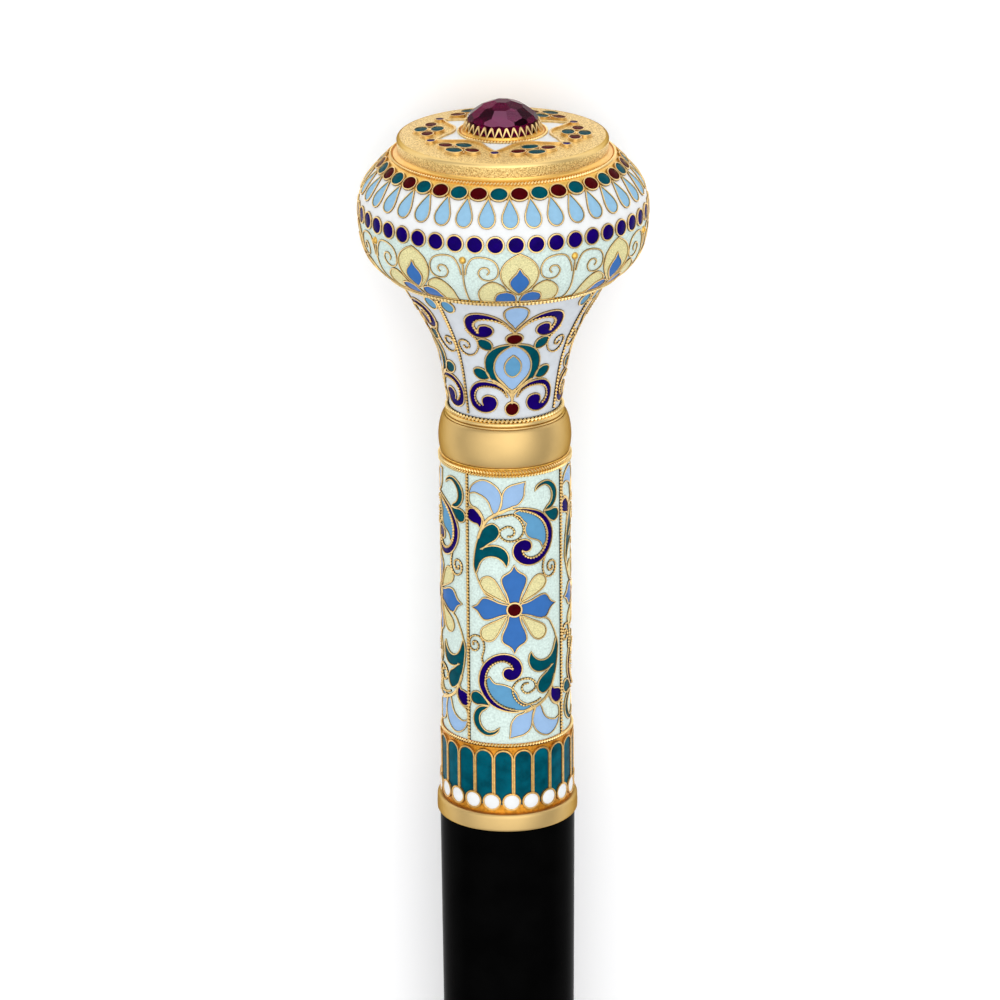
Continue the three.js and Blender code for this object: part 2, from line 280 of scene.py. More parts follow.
mint = enamel("mint enamel", srgb(202, 219, 212), cloud=0.16, patch=0.3)
white = enamel("white enamel", srgb(224, 226, 226), cloud=0.03, patch=1.2)
neck_white = enamel("neck white enamel", srgb(204, 209, 214), cloud=0.05, patch=1.5)
cobalt = enamel("cobalt enamel", srgb(20, 0, 92), cloud=0.25, patch=1.5)
teal = enamel("teal enamel", srgb(0, 72, 84), cloud=0.2, patch=1.2)
deep_teal = enamel("deep teal enamel", srgb(0, 76, 91), cloud=0.45, patch=2.5)
dark_red = enamel("dark red enamel", srgb(66, 2, 6), cloud=0.3, patch=0.8)
cornflower = enamel("cornflower enamel", srgb(56, 106, 172), cloud=0.05, patch=1.5)
periwinkle = enamel("periwinkle enamel", srgb(146, 178, 214), cloud=0.04, patch=1.5)
sky = enamel("sky enamel", srgb(92, 148, 186), cloud=0.05, patch=1.0)
pale_blue = enamel("pale blue enamel", srgb(138, 180, 208), cloud=0.05, patch=0.8)
# Painted shade: the cups' teal is made darker than the other teal, against the stronger light on
# the disc's face.
shaded_cup_teal = enamel("shaded cup teal enamel", srgb(0, 62, 70), cloud=0.3, patch=1.0, gloss=0.008)
cup_red = enamel("cup red enamel", srgb(74, 4, 6), cloud=0.3, patch=0.8, gloss=0.008)
yellow = enamel("yellow enamel", srgb(214, 206, 153), cloud=0.22, patch=0.22, relief=0.012)
print("enamels ready")

# %% [markdown]
# No two parts of the handle are quite the same gold. Polished and satin gilt are for the smooth
# rings and the collar. Wires, cords and borders are paler golds, and amber and old gilt are darker
# golds for the arcade's metal and wires. Beside every wire runs a brown line of painted shade, and
# a darker line of painted shade beside the beads. The top disc is stippled: a punch has struck
# thousands of tiny dents, made here by a fine cell pattern in the normal, with the dents' light and
# shade painted into the colour, because real dents would need millions of faces. The shaft is black
# lacquer. The stone is see-through glass over a crumpled foil. Each facet's purple is painted light
# and shade that follows the way it faces, and the facets facing one way get a painted pale
# highlight.

# %% Gilt, lacquer and stone finishes
def gilt(name, colour, roughness, tarnish_and_shade, patch, relief, rim=(1.0, 1.0, 1.0)):
    """Gold plate; `rim` tints what it mirrors at a shallow angle."""
    material, tree, shader, coordinates = start_material(name, roughness, metallic=1.0)
    shader.inputs["Specular Tint"].default_value = (*rim, 1)
    noise = add_noise(tree, coordinates, patch, detail=5)
    stops = [(0.3, shade(colour, 1 - tarnish_and_shade)), (0.65, colour)]
    ramp = add_ramp(tree, noise.outputs["Fac"], stops)
    tree.links.new(ramp.outputs["Color"], shader.inputs["Base Color"])
    fine = add_noise(tree, coordinates, patch * 0.15, detail=3)
    add_bump(tree, shader, fine.outputs["Fac"], relief)
    return material


warm_rim, pale_rim = srgb(120, 92, 44), srgb(140, 108, 58)
polished_gilt = gilt("polished gilt", srgb(232, 200, 134), 0.34, 0.05, 2.5, 0.002, warm_rim)
satin_gilt = gilt("satin gilt", srgb(206, 175, 116), 0.42, 0.05, 2.5, 0.002, pale_rim)
wire_gilt = gilt("wire gilt", srgb(240, 206, 140), 0.34, 0.25, 0.6, 0.012)
amber_gilt = gilt("amber gilt", srgb(226, 152, 50), 0.4, 0.5, 0.5, 0.02)
ground_gilt = gilt("ground gilt", srgb(240, 192, 96), 0.36, 0.3, 0.7, 0.02)
cord_gilt = gilt("cord gilt", srgb(234, 198, 130), 0.34, 0.25, 0.6, 0.008)
border_gilt = gilt("border gilt", srgb(250, 220, 154), 0.3, 0.15, 0.6, 0.008)
old_gilt = gilt("old gilt", srgb(226, 180, 106), 0.36, 0.35, 0.5, 0.012)
cove_gilt = gilt("cove gilt", srgb(238, 192, 106), 0.36, 0.08, 1.5, 0.006)
# The next two finishes are painted shade: dark lines laid beside wires and cords, darkest beside
# beads.
tarnish_and_shade = enamel("tarnish_and_shade", srgb(88, 62, 28), cloud=0.3, patch=0.8, roughness=0.5)
deep_shade = enamel("deep_shade", srgb(48, 30, 10), cloud=0.3, patch=0.8, roughness=0.5)


DENT = 0.17


def stippled(name, colour):
    """Gold struck all over with a punch: fine cells with bumps, and their light and shade painted
    into the colour.
    """
    material, tree, shader, coordinates = start_material(name, 0.42, metallic=1.0)
    dents = tree.nodes.new("ShaderNodeTexVoronoi")
    dents.inputs["Scale"].default_value = 1 / (DENT * MM)
    tree.links.new(coordinates.outputs["Object"], dents.inputs["Vector"])
    grain = add_noise(tree, coordinates, 0.28, detail=3)
    blend = tree.nodes.new("ShaderNodeMath")
    blend.operation = "MULTIPLY_ADD"
    blend.inputs[1].default_value = 0.6
    tree.links.new(dents.outputs["Distance"], blend.inputs[0])
    tree.links.new(grain.outputs["Fac"], blend.inputs[2])
    # Painted light and shade of the dents: paler cell middles, darker warm cell edges.
    stops = [(0.5, shade(colour, 1.2)), (0.75, shade(colour, 0.95)), (1.0, srgb(188, 152, 88))]
    ramp = add_ramp(tree, blend.outputs["Value"], stops)
    tree.links.new(ramp.outputs["Color"], shader.inputs["Base Color"])
    add_bump(tree, shader, blend.outputs["Value"], 0.085)
    return material


stippled_gilt = stippled("stippled gilt", srgb(236, 206, 136))


def lacquer(name):
    """Deep black lacquer that mirrors only at a shallow angle."""
    material, tree, shader, coordinates = start_material(name, 0.22)
    noise = add_noise(tree, coordinates, 6, detail=3)
    ramp = add_ramp(tree, noise.outputs["Fac"], [(0.3, (0.0008,) * 3), (0.7, (0.0016,) * 3)])
    tree.links.new(ramp.outputs["Color"], shader.inputs["Base Color"])
    add_bump(tree, shader, noise.outputs["Fac"], 0.004)
    shader.inputs["Specular IOR Level"].default_value = 0.03
    shader.inputs["IOR"].default_value = 1.15
    return material


black_lacquer = lacquer("black lacquer")


# The direction whose facets get a painted pale highlight.
HIGHLIGHT_WAY = 0.64 * ALONG + 0.77 * OUTWARD


def gem(name, dark, colour, bright, painted_highlight):
    """See-through purple glass with painted light and shade: its tone changes from facet to facet
    with the way each faces, and the facets facing one way get a painted pale highlight.
    """
    material, tree, shader, coordinates = start_material(name, 0.03)
    # Painted light and shade: a noise on each facet's direction picks its dark, middle or pale
    # purple.
    depth = tree.nodes.new("ShaderNodeTexNoise")
    depth.inputs["Scale"].default_value = 3.1
    depth.inputs["Detail"].default_value = 1
    tree.links.new(coordinates.outputs["Normal"], depth.inputs["Vector"])
    ramp = add_ramp(tree, depth.outputs["Fac"], [(0.38, dark), (0.5, colour), (0.64, bright)])
    forward = tree.nodes.new("ShaderNodeVectorMath")
    forward.operation = "DOT_PRODUCT"
    forward.inputs[1].default_value = Vector(HIGHLIGHT_WAY)
    tree.links.new(coordinates.outputs["Normal"], forward.inputs[0])
    # Painted highlight: facets facing the chosen direction turn pale.
    highlight_stops = [(0.915, (0, 0, 0)), (0.945, (1, 1, 1))]
    highlight_mask = add_ramp(tree, forward.outputs["Value"], highlight_stops)
    mix = tree.nodes.new("ShaderNodeMix")
    mix.data_type = "RGBA"
    mix.inputs["B"].default_value = (*painted_highlight, 1)
    tree.links.new(highlight_mask.outputs["Color"], mix.inputs["Factor"])
    tree.links.new(ramp.outputs["Color"], mix.inputs["A"])
    tree.links.new(mix.outputs["Result"], shader.inputs["Base Color"])
    shader.inputs["Transmission Weight"].default_value = 0.6
    shader.inputs["IOR"].default_value = 1.14
    shader.inputs["Specular IOR Level"].default_value = 0.1
    return material


def crumpled_foil(name, dark, bright):
    """Foil behind a stone: bright and dark patches that the facets break up."""
    material, tree, shader, coordinates = start_material(name, 0.35, metallic=1.0)
    patches = tree.nodes.new("ShaderNodeTexVoronoi")
    patches.inputs["Scale"].default_value = 1 / (1.6 * MM)
    tree.links.new(coordinates.outputs["Object"], patches.inputs["Vector"])
    ramp = add_ramp(tree, patches.outputs["Distance"], [(0.25, bright), (0.6, dark)])
    tree.links.new(ramp.outputs["Color"], shader.inputs["Base Color"])
    add_bump(tree, shader, patches.outputs["Distance"], 0.3)
    return material


# Dark, middle and pale purple for the painted facet shading, then the painted highlight colour.
purples_and_highlight = srgb(22, 0, 12), srgb(88, 0, 48), srgb(138, 10, 78), srgb(166, 98, 132)
purple_stone = gem("purple stone", *purples_and_highlight)
foil = crumpled_foil("stone foil", srgb(20, 4, 14), srgb(220, 120, 176))
print("materials:", len(bpy.data.materials))

# %% [markdown]
# Turned parts come first, because all the decoration lies on them. A skin is the outline of one
# turned part, from its lower to its upper end. It is measured along its own curve, so a pattern
# drawn flat in millimetres wraps round it without stretching. Zero lift is the top of the wires.

# %% Skins of the turned parts
def bezier(start, pull_start, pull_end, end, steps):
    """Points of a curve that leaves `start` toward one handle and reaches `end` from the other."""
    t = np.linspace(0, 1, steps + 1)[:, None]
    a, b, c, d = (np.array(p, float) for p in (start, pull_start, pull_end, end))
    return (1 - t) ** 3 * a + 3 * (1 - t) ** 2 * t * b + 3 * (1 - t) * t * t * c + t ** 3 * d


SETTLE = 0.00015


def settle(points):
    """Eases whatever would sink below the floor into a small worn flat that rests on it."""
    low = points[:, 2] < SETTLE
    points[low, 2] = SETTLE * np.exp(points[low, 2] / SETTLE - 1)
    return points


class Skin:
    """The outline of a turned part: places on it are an angle and a distance along the outline."""

    def __init__(self, outline, mean_radius):
        outline = np.array(outline, float)
        self.radius, self.height = outline.T
        steps = np.hypot(np.diff(self.radius), np.diff(self.height))
        self.run = np.concatenate([[0], np.cumsum(steps)])
        slope = np.gradient(outline, self.run, axis=0)
        slope /= np.linalg.norm(slope, axis=1)[:, None]
        self.normal = np.stack([slope[:, 1], -slope[:, 0]], axis=1)
        self.per_degree = math.radians(mean_radius)

    def profile(self, run, lift):
        """Radius and height at a distance along the skin, moved out by `lift` mm."""
        out = np.interp(run, self.run, self.normal[:, 0])
        rise = np.interp(run, self.run, self.normal[:, 1])
        radius = np.interp(run, self.run, self.radius) + lift * out
        return radius, np.interp(run, self.run, self.height) + lift * rise

    def at(self, degrees, run, lift):
        """World points at angles and distances along the skin, `lift` mm above it."""
        radius, height = self.profile(run, lift)
        return settle(to_world(radius, degrees, height))


neck_curve = bezier((8.79, 67.4), (10.23, 76.92), (10.15, 78.84), (16.72, 89.0), 48)
knob_low = bezier((18.0, 89.6), (21.09, 91.48), (22.4, 93.77), (22.4, 98.8), 40)
knob_high = bezier((22.4, 98.8), (22.4, 103.63), (21.17, 104.28), (17.6, 107.85), 40)
knob_skin = Skin(np.vstack([knob_low, knob_high[1:]]), 21.5)
neck_skin = Skin(neck_curve, 11.5)
sleeve_skin = Skin([(10.3, 14.0), (10.3, 60.0)], 10.15)
arcade_skin = Skin([(10.6, 2.4), (10.6, 14.2)], 10.4)
print("knob skin", round(knob_skin.run[-1], 2), "mm, neck skin", round(neck_skin.run[-1], 2), "mm")

# %% [markdown]
# A piece may be hundreds of small shells, such as the wires of one pattern. Each helper below adds
# closed shells to a tray, and the tray becomes one Blender object with one finish at the end.

# %% Trays that become pieces
class Tray:
    """Closed shells collected for one piece, and perhaps a tray for the dark lines of painted shade
    beside wires.
    """

    def __init__(self, shade_lines=False):
        self.points = []
        self.faces = []
        self.count = 0
        self.shade_lines = Tray() if shade_lines else None

    def add(self, points, faces):
        """Adds one closed shell."""
        self.points.append(np.asarray(points, float))
        self.faces.extend([tuple(int(i) + self.count for i in face) for face in faces])
        self.count += len(points)

    def piece(self, name, material, slot, stands_for=(), crease=38):
        """Turns all shells into one object; `stands_for` lists the frame's nodes it replaces."""
        mesh = bpy.data.meshes.new(name)
        mesh.from_pydata(np.vstack(self.points).tolist(), [], self.faces)
        mesh.materials.append(material)
        shells = bmesh.new()
        shells.from_mesh(mesh)
        bmesh.ops.recalc_face_normals(shells, faces=shells.faces)
        shells.to_mesh(mesh)
        shells.free()
        mesh.shade_smooth()
        mesh.set_sharp_from_angle(angle=math.radians(crease))
        thing = bpy.data.objects.new(name, mesh)
        scene.collection.objects.link(thing)
        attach(thing, "root")
        if stands_for:
            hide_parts(*stands_for)
        print(name, sum(len(face) - 2 for face in self.faces), "triangles")
        return thing


def tube_faces(rings, sides, closed):
    """Quads between successive rings of points, with a lid at each end of an open tube."""
    faces = []
    for i in range(rings if closed else rings - 1):
        here, there = i * sides, ((i + 1) % rings) * sides
        for j in range(sides):
            k = (j + 1) % sides
            faces.append((here + j, here + k, there + k, there + j))
    if not closed:
        faces.append(tuple(range(sides))[::-1])
        faces.append(tuple(range((rings - 1) * sides, rings * sides)))
    return faces


TURN_SIDES = 192


def turn(tray, outline, sides):
    """A ring turned on the lathe from a closed outline of (radius, height) points."""
    outline = np.array(outline, float)
    degrees = np.arange(sides) * 360 / sides
    radii, heights = outline.T
    rings = [settle(to_world(radii, np.full(len(outline), d), heights)) for d in degrees]
    tray.add(np.vstack(rings), tube_faces(sides, len(outline), True))


def ground(tray, skin, start, end, lift, steps, depth=0.6):
    """The band of metal or enamel that a pattern lies on, between two distances along a skin."""
    run = np.linspace(start, end, steps + 1)
    outer = np.stack(skin.profile(run, lift), axis=1)
    inner = np.stack(skin.profile(run, lift - depth), axis=1)[::-1]
    turn(tray, np.vstack([outer, inner]), TURN_SIDES)


def turned_piece(name, outlines, material, stands_for=(), sides=TURN_SIDES, slot="gilt"):
    """One piece made of one or more rings from the lathe."""
    tray = Tray()
    for outline in outlines:
        turn(tray, outline, sides)
    return tray.piece(name, material, slot, stands_for)


print("lathe ready")

# %% [markdown]
# A pattern is drawn as a few points, and a smooth line runs through them.
# A third number marks a corner, where the line may turn sharply: the tip of a leaf, or the notch
# of a scroll.

# %% Smooth lines through points
MOST_TURN = 9
MOST_RUN = 0.8


def thinned(line):
    """Drops the points a line can do without: one stays for every few degrees of turn."""
    legs = np.diff(line, axis=0)
    gaps = np.linalg.norm(legs, axis=1)
    heading = np.degrees(np.arctan2(legs[:, 1], legs[:, 0]))
    bend = np.abs((np.diff(heading) + 180) % 360 - 180)
    kept, turned_by, run = [0], 0.0, 0.0
    for i in range(1, len(line) - 1):
        turned_by += bend[i - 1]
        run += gaps[i - 1]
        if turned_by > MOST_TURN or run > MOST_RUN:
            kept.append(i)
            turned_by, run = 0.0, 0.0
    return line[kept + [len(line) - 1]]


def smooth(points, closed=False, step=0.22):
    """A smooth line through points, with no more of them than its bends need."""
    return thinned(smooth_line(points, closed, step))


def smooth_line(points, closed, step):
    """The same line before thinning: one smooth stretch between each two corners."""
    flat = np.array([p[:2] for p in points], float)
    corner = [i for i, p in enumerate(points) if len(p) > 2]
    if closed and corner:
        order = list(range(corner[0], len(points))) + list(range(corner[0] + 1))
        flat = flat[order]
        corner = [(i - corner[0]) % len(points) for i in corner][1:]
    elif closed:
        reach = min(3, len(flat) - 1)
        lapped = np.vstack([flat[-reach:], flat, flat[:reach + 1]])
        return sample_line(lapped, step, reach, reach + len(flat))[:-1]
    cuts = [0] + [i for i in corner if 0 < i < len(flat) - 1] + [len(flat) - 1]
    parts = [sample_line(flat[a:b + 1], step, 0, b - a)[:-1] for a, b in zip(cuts, cuts[1:])]
    if not closed:
        parts.append(flat[-1:])
    return np.vstack(parts)


def sample_line(points, step, first, last):
    """Points along the smooth line through `points`, from one of them to another."""
    gaps = np.linalg.norm(np.diff(points, axis=0), axis=1)
    legs = np.diff(points, axis=0) / gaps[:, None]
    pull = np.zeros_like(points)
    if len(points) == 2:
        pull[:] = legs[0]
    else:
        before, after = gaps[:-1, None], gaps[1:, None]
        pull[1:-1] = (legs[:-1] * after + legs[1:] * before) / (before + after)
        pull[0] = (3 * legs[0] - pull[1]) / 2
        pull[-1] = (3 * legs[-1] - pull[-2]) / 2
    line = []
    for i in range(first, last):
        share = np.arange(max(1, math.ceil(gaps[i] / step))) * 1.0
        t = (share / len(share))[:, None]
        a, b, m, n = points[i], points[i + 1], pull[i] * gaps[i], pull[i + 1] * gaps[i]
        line.append(
            (2 * t ** 3 - 3 * t ** 2 + 1) * a + (t ** 3 - 2 * t ** 2 + t) * m
            + (3 * t ** 2 - 2 * t ** 3) * b + (t ** 3 - t ** 2) * n
        )
    line.append(points[last:last + 1])
    return np.vstack(line)


def oval(centre, half_width, half_height, points=24):
    """A closed oval, or a circle where both halves are alike."""
    angle = np.arange(points) * 2 * math.pi / points
    across, along = half_width * np.cos(angle), half_height * np.sin(angle)
    return np.stack([centre[0] + across, centre[1] + along], axis=1)


def upright(degrees, low, high, points):
    """A straight line up a skin, between two distances along it."""
    return np.stack([np.full(points, degrees), np.linspace(low, high, points)], axis=1)


def mirrored(left_half):
    """A closed outline from its left half, whose first and last points lie on the middle line."""
    return list(left_half) + [(-x, y, *mark) for x, y, *mark in left_half[-2:0:-1]]


def placed(skin, line, middle, side=1):
    """A drawing in mm from its middle, as degrees and mm on a skin; side -1 mirrors it."""
    line = np.asarray(line, float)
    return np.stack([middle + side * line[:, 0] / skin.per_degree, line[:, 1]], axis=1)


print("line sample:", len(smooth([(0, 0), (1, 2), (3, 3)])), "points")

# %% [markdown]
# The cell walls are gold wires soldered on edge and ground almost flat. Where the goldsmith wanted
# sparkle, the wire is rolled into a string of tiny beads, or two wires are twisted into a cord,
# whose strands show as beads that lean. Both are one tube whose radius swells and shrinks along a
# line.

# %% Plain, beaded and twisted wires
def full_turn(skin, steps):
    """Steps along a line, with the jump from 360 back to 0 degrees taken out."""
    round_mm = 360 * skin.per_degree
    steps[:, 0] = (steps[:, 0] + round_mm / 2) % round_mm - round_mm / 2
    return steps


def frame_line(skin, line, closed):
    """Side directions along a flat line, in degrees and mm, and the distance covered so far."""
    flat = line * np.array([skin.per_degree, 1.0])
    if closed:
        heading = full_turn(skin, np.roll(flat, -1, axis=0) - np.roll(flat, 1, axis=0))
        gaps = np.linalg.norm(full_turn(skin, np.roll(flat, -1, axis=0) - flat), axis=1)
    else:
        heading = np.gradient(flat, axis=0)
        gaps = np.linalg.norm(np.diff(flat, axis=0), axis=1)
    heading /= np.maximum(np.linalg.norm(heading, axis=1), 1e-9)[:, None]
    side = np.stack([-heading[:, 1] / skin.per_degree, heading[:, 0]], axis=1)
    return side, np.concatenate([[0], np.cumsum(gaps)])


def sweep(tray, skin, line, side, shape, closed):
    """A closed tube along a line; `shape` holds (sideways, lift) for each point of each ring."""
    degrees = line[:, None, 0] + shape[..., 0] * side[:, None, 0]
    run = line[:, None, 1] + shape[..., 0] * side[:, None, 1]
    points = skin.at(degrees.ravel(), run.ravel(), shape[..., 1].ravel())
    tray.add(points, tube_faces(len(line), shape.shape[1], closed))


# Width and depth of the dark painted-shade lines beside each wire.
SHADE_LINE_MARGIN = 0.08
SHADE_LINE_TOP = -0.15


def shade_line(tray, skin, line, closed, width):
    """A dark line of painted shade along both sides of a wire, laid where the wire meets the glass.
    """
    if tray.shade_lines is None:
        return
    half = (width + SHADE_LINE_MARGIN) / 2
    shape = np.array([(half, SHADE_LINE_TOP), (-half, SHADE_LINE_TOP), (0.0, -0.4)])
    side, _ = frame_line(skin, line, closed)
    sweep(tray.shade_lines, skin, line, side, np.repeat(shape[None], len(line), axis=0), closed)


def grown(skin, line, by):
    """A closed outline moved outward by some mm, so that a wire frames its enamel."""
    side, _ = frame_line(skin, line, True)
    x, y = line[:, 0], line[:, 1]
    area = np.sum(x * np.roll(y, -1) - y * np.roll(x, -1))
    return line - side * by * np.sign(area)


def wire(tray, skin, line, closed=False, width=0.32, top=0.0, base=-0.34):
    """A wire soldered on edge and ground almost flat."""
    shoulder = top - 0.11 * width
    strip = [(-0.5, base), (-0.44, shoulder), (0.0, top), (0.44, shoulder), (0.5, base)]
    shape = np.array([(x * width, lift) for x, lift in strip])[::-1]
    side, _ = frame_line(skin, line, closed)
    sweep(tray, skin, line, side, np.repeat(shape[None], len(line), axis=0), closed)
    shade_line(tray, skin, line, closed, width)


BEAD_RINGS = 4
BEAD_SIDES = 6


def beaded(tray, skin, line, closed, width, pitch, slant, waist, middle=-0.04):
    """A wire drawn into tiny beads, as wide as `waist` times the wire where two of them meet.

    With a slant, each bead leans like a strand of a twisted cord.
    """
    _, run = frame_line(skin, line, closed)
    length = run[-1]
    beads_made = max(2, round(length / pitch))
    steps = beads_made * BEAD_RINGS
    there = np.linspace(0, length, steps + (0 if closed else 1), endpoint=not closed)
    whole = line
    if closed:
        scale = [skin.per_degree, 1]
        last_step = full_turn(skin, (line[:1] - line[-1:]) * scale) / scale
        whole = np.vstack([line, line[-1:] + last_step])
    path = np.stack([np.interp(there, run, whole[:, i]) for i in range(2)], axis=1)
    along = np.arange(len(path)) * 2 * math.pi / BEAD_RINGS
    swell = (waist + (1 - waist) * np.sqrt((1 - np.cos(along)) / 2))[:, None] * width / 2
    around = np.arange(BEAD_SIDES) * 2 * math.pi / BEAD_SIDES
    shape = np.stack([swell * np.cos(around), middle + swell * np.sin(around)], axis=2)[:, ::-1]
    side, _ = frame_line(skin, path, closed)
    heading = np.stack([side[:, 1] / skin.per_degree, -side[:, 0] * skin.per_degree], axis=1)
    sweep(tray, skin, path, side + slant * heading, shape, closed)
    shade_line(tray, skin, line, closed, 0.75 * width)


def circle_line(run, points):
    """A line right round a skin at one distance along it."""
    return np.stack([np.arange(points) * 360 / points, np.full(points, float(run))], axis=1)


print("wires ready")

# %% [markdown]
# Between the wires lies the enamel. Each cell is cut to its outline, filled with a net of small
# triangles so that it curves with the skin, and closed underneath. Its edge hides under the wire.
# Round dots are drawn as shallow buttons, because a drop of glass pulls itself into a dome. Sleeve,
# neck and knob are all made the same way, so one class holds their trays and turns them to pieces.

# %% Enamel cells and buttons
CELL_NET = 0.9


def inside(outline, points):
    """Which points lie inside a closed outline."""
    a, b = outline, np.roll(outline, -1, axis=0)
    x, y = points[:, 0, None], points[:, 1, None]
    crosses = (a[:, 1] > y) != (b[:, 1] > y)
    rise = np.where(np.abs(b[:, 1] - a[:, 1]) < 1e-12, 1e-12, b[:, 1] - a[:, 1])
    edge = a[:, 0] + (y - a[:, 1]) * (b[:, 0] - a[:, 0]) / rise
    return (crosses & (x < edge)).sum(axis=1) % 2 == 1


def cell(tray, skin, line, lift=-0.17, depth=0.25):
    """One enamel cell; `line` is its outline in degrees and mm."""
    scale = np.array([skin.per_degree, 1.0])
    flat = line * scale
    low, high = flat.min(axis=0), flat.max(axis=0)
    columns, rows = (np.arange(low[i], high[i], CELL_NET) for i in range(2))
    grid = np.array([(x, y) for x in columns for y in rows]).reshape(-1, 2)
    gap = np.linalg.norm(grid[:, None] - flat[None], axis=2).min(axis=1)
    grid = grid[(gap > 0.45 * CELL_NET) & inside(flat, grid)]
    everything = [Vector(p) for p in np.vstack([flat, grid]).tolist()]
    edges = [(i, (i + 1) % len(flat)) for i in range(len(flat))]
    made = geometry.delaunay_2d_cdt(everything, edges, [], 1, 1e-5)
    spots, faces = np.array([tuple(p) for p in made[0]]), made[2]
    place = spots / scale
    signed = [
        (spots[f[1]][0] - spots[f[0]][0]) * (spots[f[2]][1] - spots[f[0]][1])
        - (spots[f[1]][1] - spots[f[0]][1]) * (spots[f[2]][0] - spots[f[0]][0]) for f in faces
    ]
    tops = [tuple(f) if s > 0 else tuple(f)[::-1] for f, s in zip(faces, signed)]
    count = len(spots)
    rim = {}
    for face in tops:
        for i in range(3):
            rim[(face[i], face[(i + 1) % 3])] = True
    walls = [(b, a, a + count, b + count) for a, b in rim if (b, a) not in rim]
    unders = [tuple(i + count for i in face)[::-1] for face in tops]
    upper = skin.at(place[:, 0], place[:, 1], np.full(count, lift))
    lower = skin.at(place[:, 0], place[:, 1], np.full(count, lift - depth))
    tray.add(np.vstack([upper, lower]), tops + walls + unders)


def button(tray, skin, line, lift, crown, depth=0.3):
    """A domed drop of enamel inside a convex outline."""
    middle = line.mean(axis=0)
    count = len(line)
    dome = [(0.75, lift + 0.5 * crown), (0.4, lift + 0.9 * crown)]
    shares = [(1.0, lift - depth), (1.0, lift)] + dome
    rings = [middle + (line - middle) * share for share, _ in shares]
    lifts = [np.full(count, height) for _, height in shares]
    places = np.vstack(rings + [middle[None]])
    points = skin.at(places[:, 0], places[:, 1], np.concatenate(lifts + [[lift + crown]]))
    faces = tube_faces(len(rings), count, False)[:-1]
    last = (len(rings) - 1) * count
    faces += [(last + i, last + (i + 1) % count, len(places) - 1) for i in range(count)]
    tray.add(points, faces)


ENAMELS = {
    "teal": (teal, "teal_enamel"),
    "cobalt": (cobalt, "cobalt_enamel"),
    "red": (dark_red, "red_enamel"),
    "yellow": (yellow, "yellow_enamel"),
    "cornflower": (cornflower, "cornflower_enamel"),
    "periwinkle": (periwinkle, "cornflower_enamel"),
    "sky": (sky, "light_blue_enamel"),
    "blue": (sky, "light_blue_enamel"),
    "drops": (pale_blue, "light_blue_enamel"),
}


GLASS_BY = 0.03


class Goldwork:
    """One enamelled part in the making: its skin, its wires and beads, and a tray per colour."""

    def __init__(self, skin, *colours):
        self.skin = skin
        self.wires, self.cords = Tray(shade_lines=True), Tray(shade_lines=True)
        self.glass = {colour: Tray() for colour in colours}

    def wire(self, line, width, closed=False, top=0.0):
        """A plain wire along a line."""
        wire(self.wires, self.skin, line, closed, width, top)

    def beads(self, line, width, pitch=0.48, slant=0.0, waist=0.16):
        """A beaded wire along a line."""
        beaded(self.cords, self.skin, line, False, width, pitch, slant, waist)

    def cell(self, colour, place, width, glass_by=0.0, wire_by=0.07, lift=-0.17):
        """A cell and the wire round it, each moved a little way out past the drawn outline."""
        cell(self.glass[colour], self.skin, grown(self.skin, place, glass_by), lift)
        if width:
            self.wire(grown(self.skin, place, wire_by), width, True)

    def dot(self, colour, outline, ring, width, lift=-0.17, crown=0.08, top=0.0):
        """A domed drop of enamel and the ring of wire round it."""
        button(self.glass[colour], self.skin, outline, lift, crown)
        self.wire(ring, width, True, top)

    def gold_pieces(self, part):
        """The plain wires and the beaded ones, and the dark lines of painted shade beside both."""
        self.wires.piece(part + "_wires", wire_gilt, "gilt")
        self.cords.piece(part + "_cords", cord_gilt, "gilt")
        self.wires.shade_lines.piece(part + "_wire_shade_lines", tarnish_and_shade, "gilt")
        self.cords.shade_lines.piece(part + "_cord_shade_lines", deep_shade, "gilt")

    def enamel_pieces(self, part):
        """One piece for each colour."""
        for colour, tray in self.glass.items():
            finish, slot = ENAMELS[colour]
            tray.piece(part + "_" + colour, finish, slot)


print("enamel helpers ready")

# %% [markdown]
# The shaft and its ferrule are plain turned work. The shaft is wood under black lacquer, a little
# thicker at the handle. The band is a polished ring that hides the joint, and it has softly
# rounded edges. A narrow shadow gap stays between every two parts, as on the real handle.

# %% Ferrule, shaft and band
foot_at = span("ferrule")[0] - HANDLE
shaft_low, shaft_high, shaft_radius = span("shaft")
SHAFT_FOOT_RADIUS = 6.45


def solid_turn(tray, outline, sides):
    """A solid part turned from an open outline; flat ends close it."""
    outline = np.array(outline, float)
    degrees = np.arange(sides) * 360 / sides
    rings = [settle(to_world(np.full(sides, r), degrees, np.full(sides, h))) for r, h in outline]
    tray.add(np.vstack(rings), tube_faces(len(outline), sides, False))


tray = Tray()
ferrule_outline = [
    (5.3, foot_at), (5.95, foot_at + 0.1), (6.25, foot_at + 0.5), (6.34, foot_at + 1.4),
    (6.62, foot_at + 26.6), (6.62, foot_at + 26.9), (6.38, foot_at + 27.1), (6.38, foot_at + 27.9),
    (6.62, foot_at + 28.1), (6.68, foot_at + 31.2), (6.6, foot_at + 31.85), (6.3, foot_at + 32),
]
solid_turn(tray, ferrule_outline, 96)
tray.piece("ferrule_cap", polished_gilt, "gilt", ["ferrule"], crease=50)

tray = Tray()
heights = np.linspace(shaft_low - HANDLE, shaft_high - HANDLE, 24)
radii = np.linspace(SHAFT_FOOT_RADIUS, shaft_radius, 24)
solid_turn(tray, np.stack([radii, heights], axis=1), 128)
tray.piece("lacquered_shaft", black_lacquer, "black_lacquer", ["shaft"])

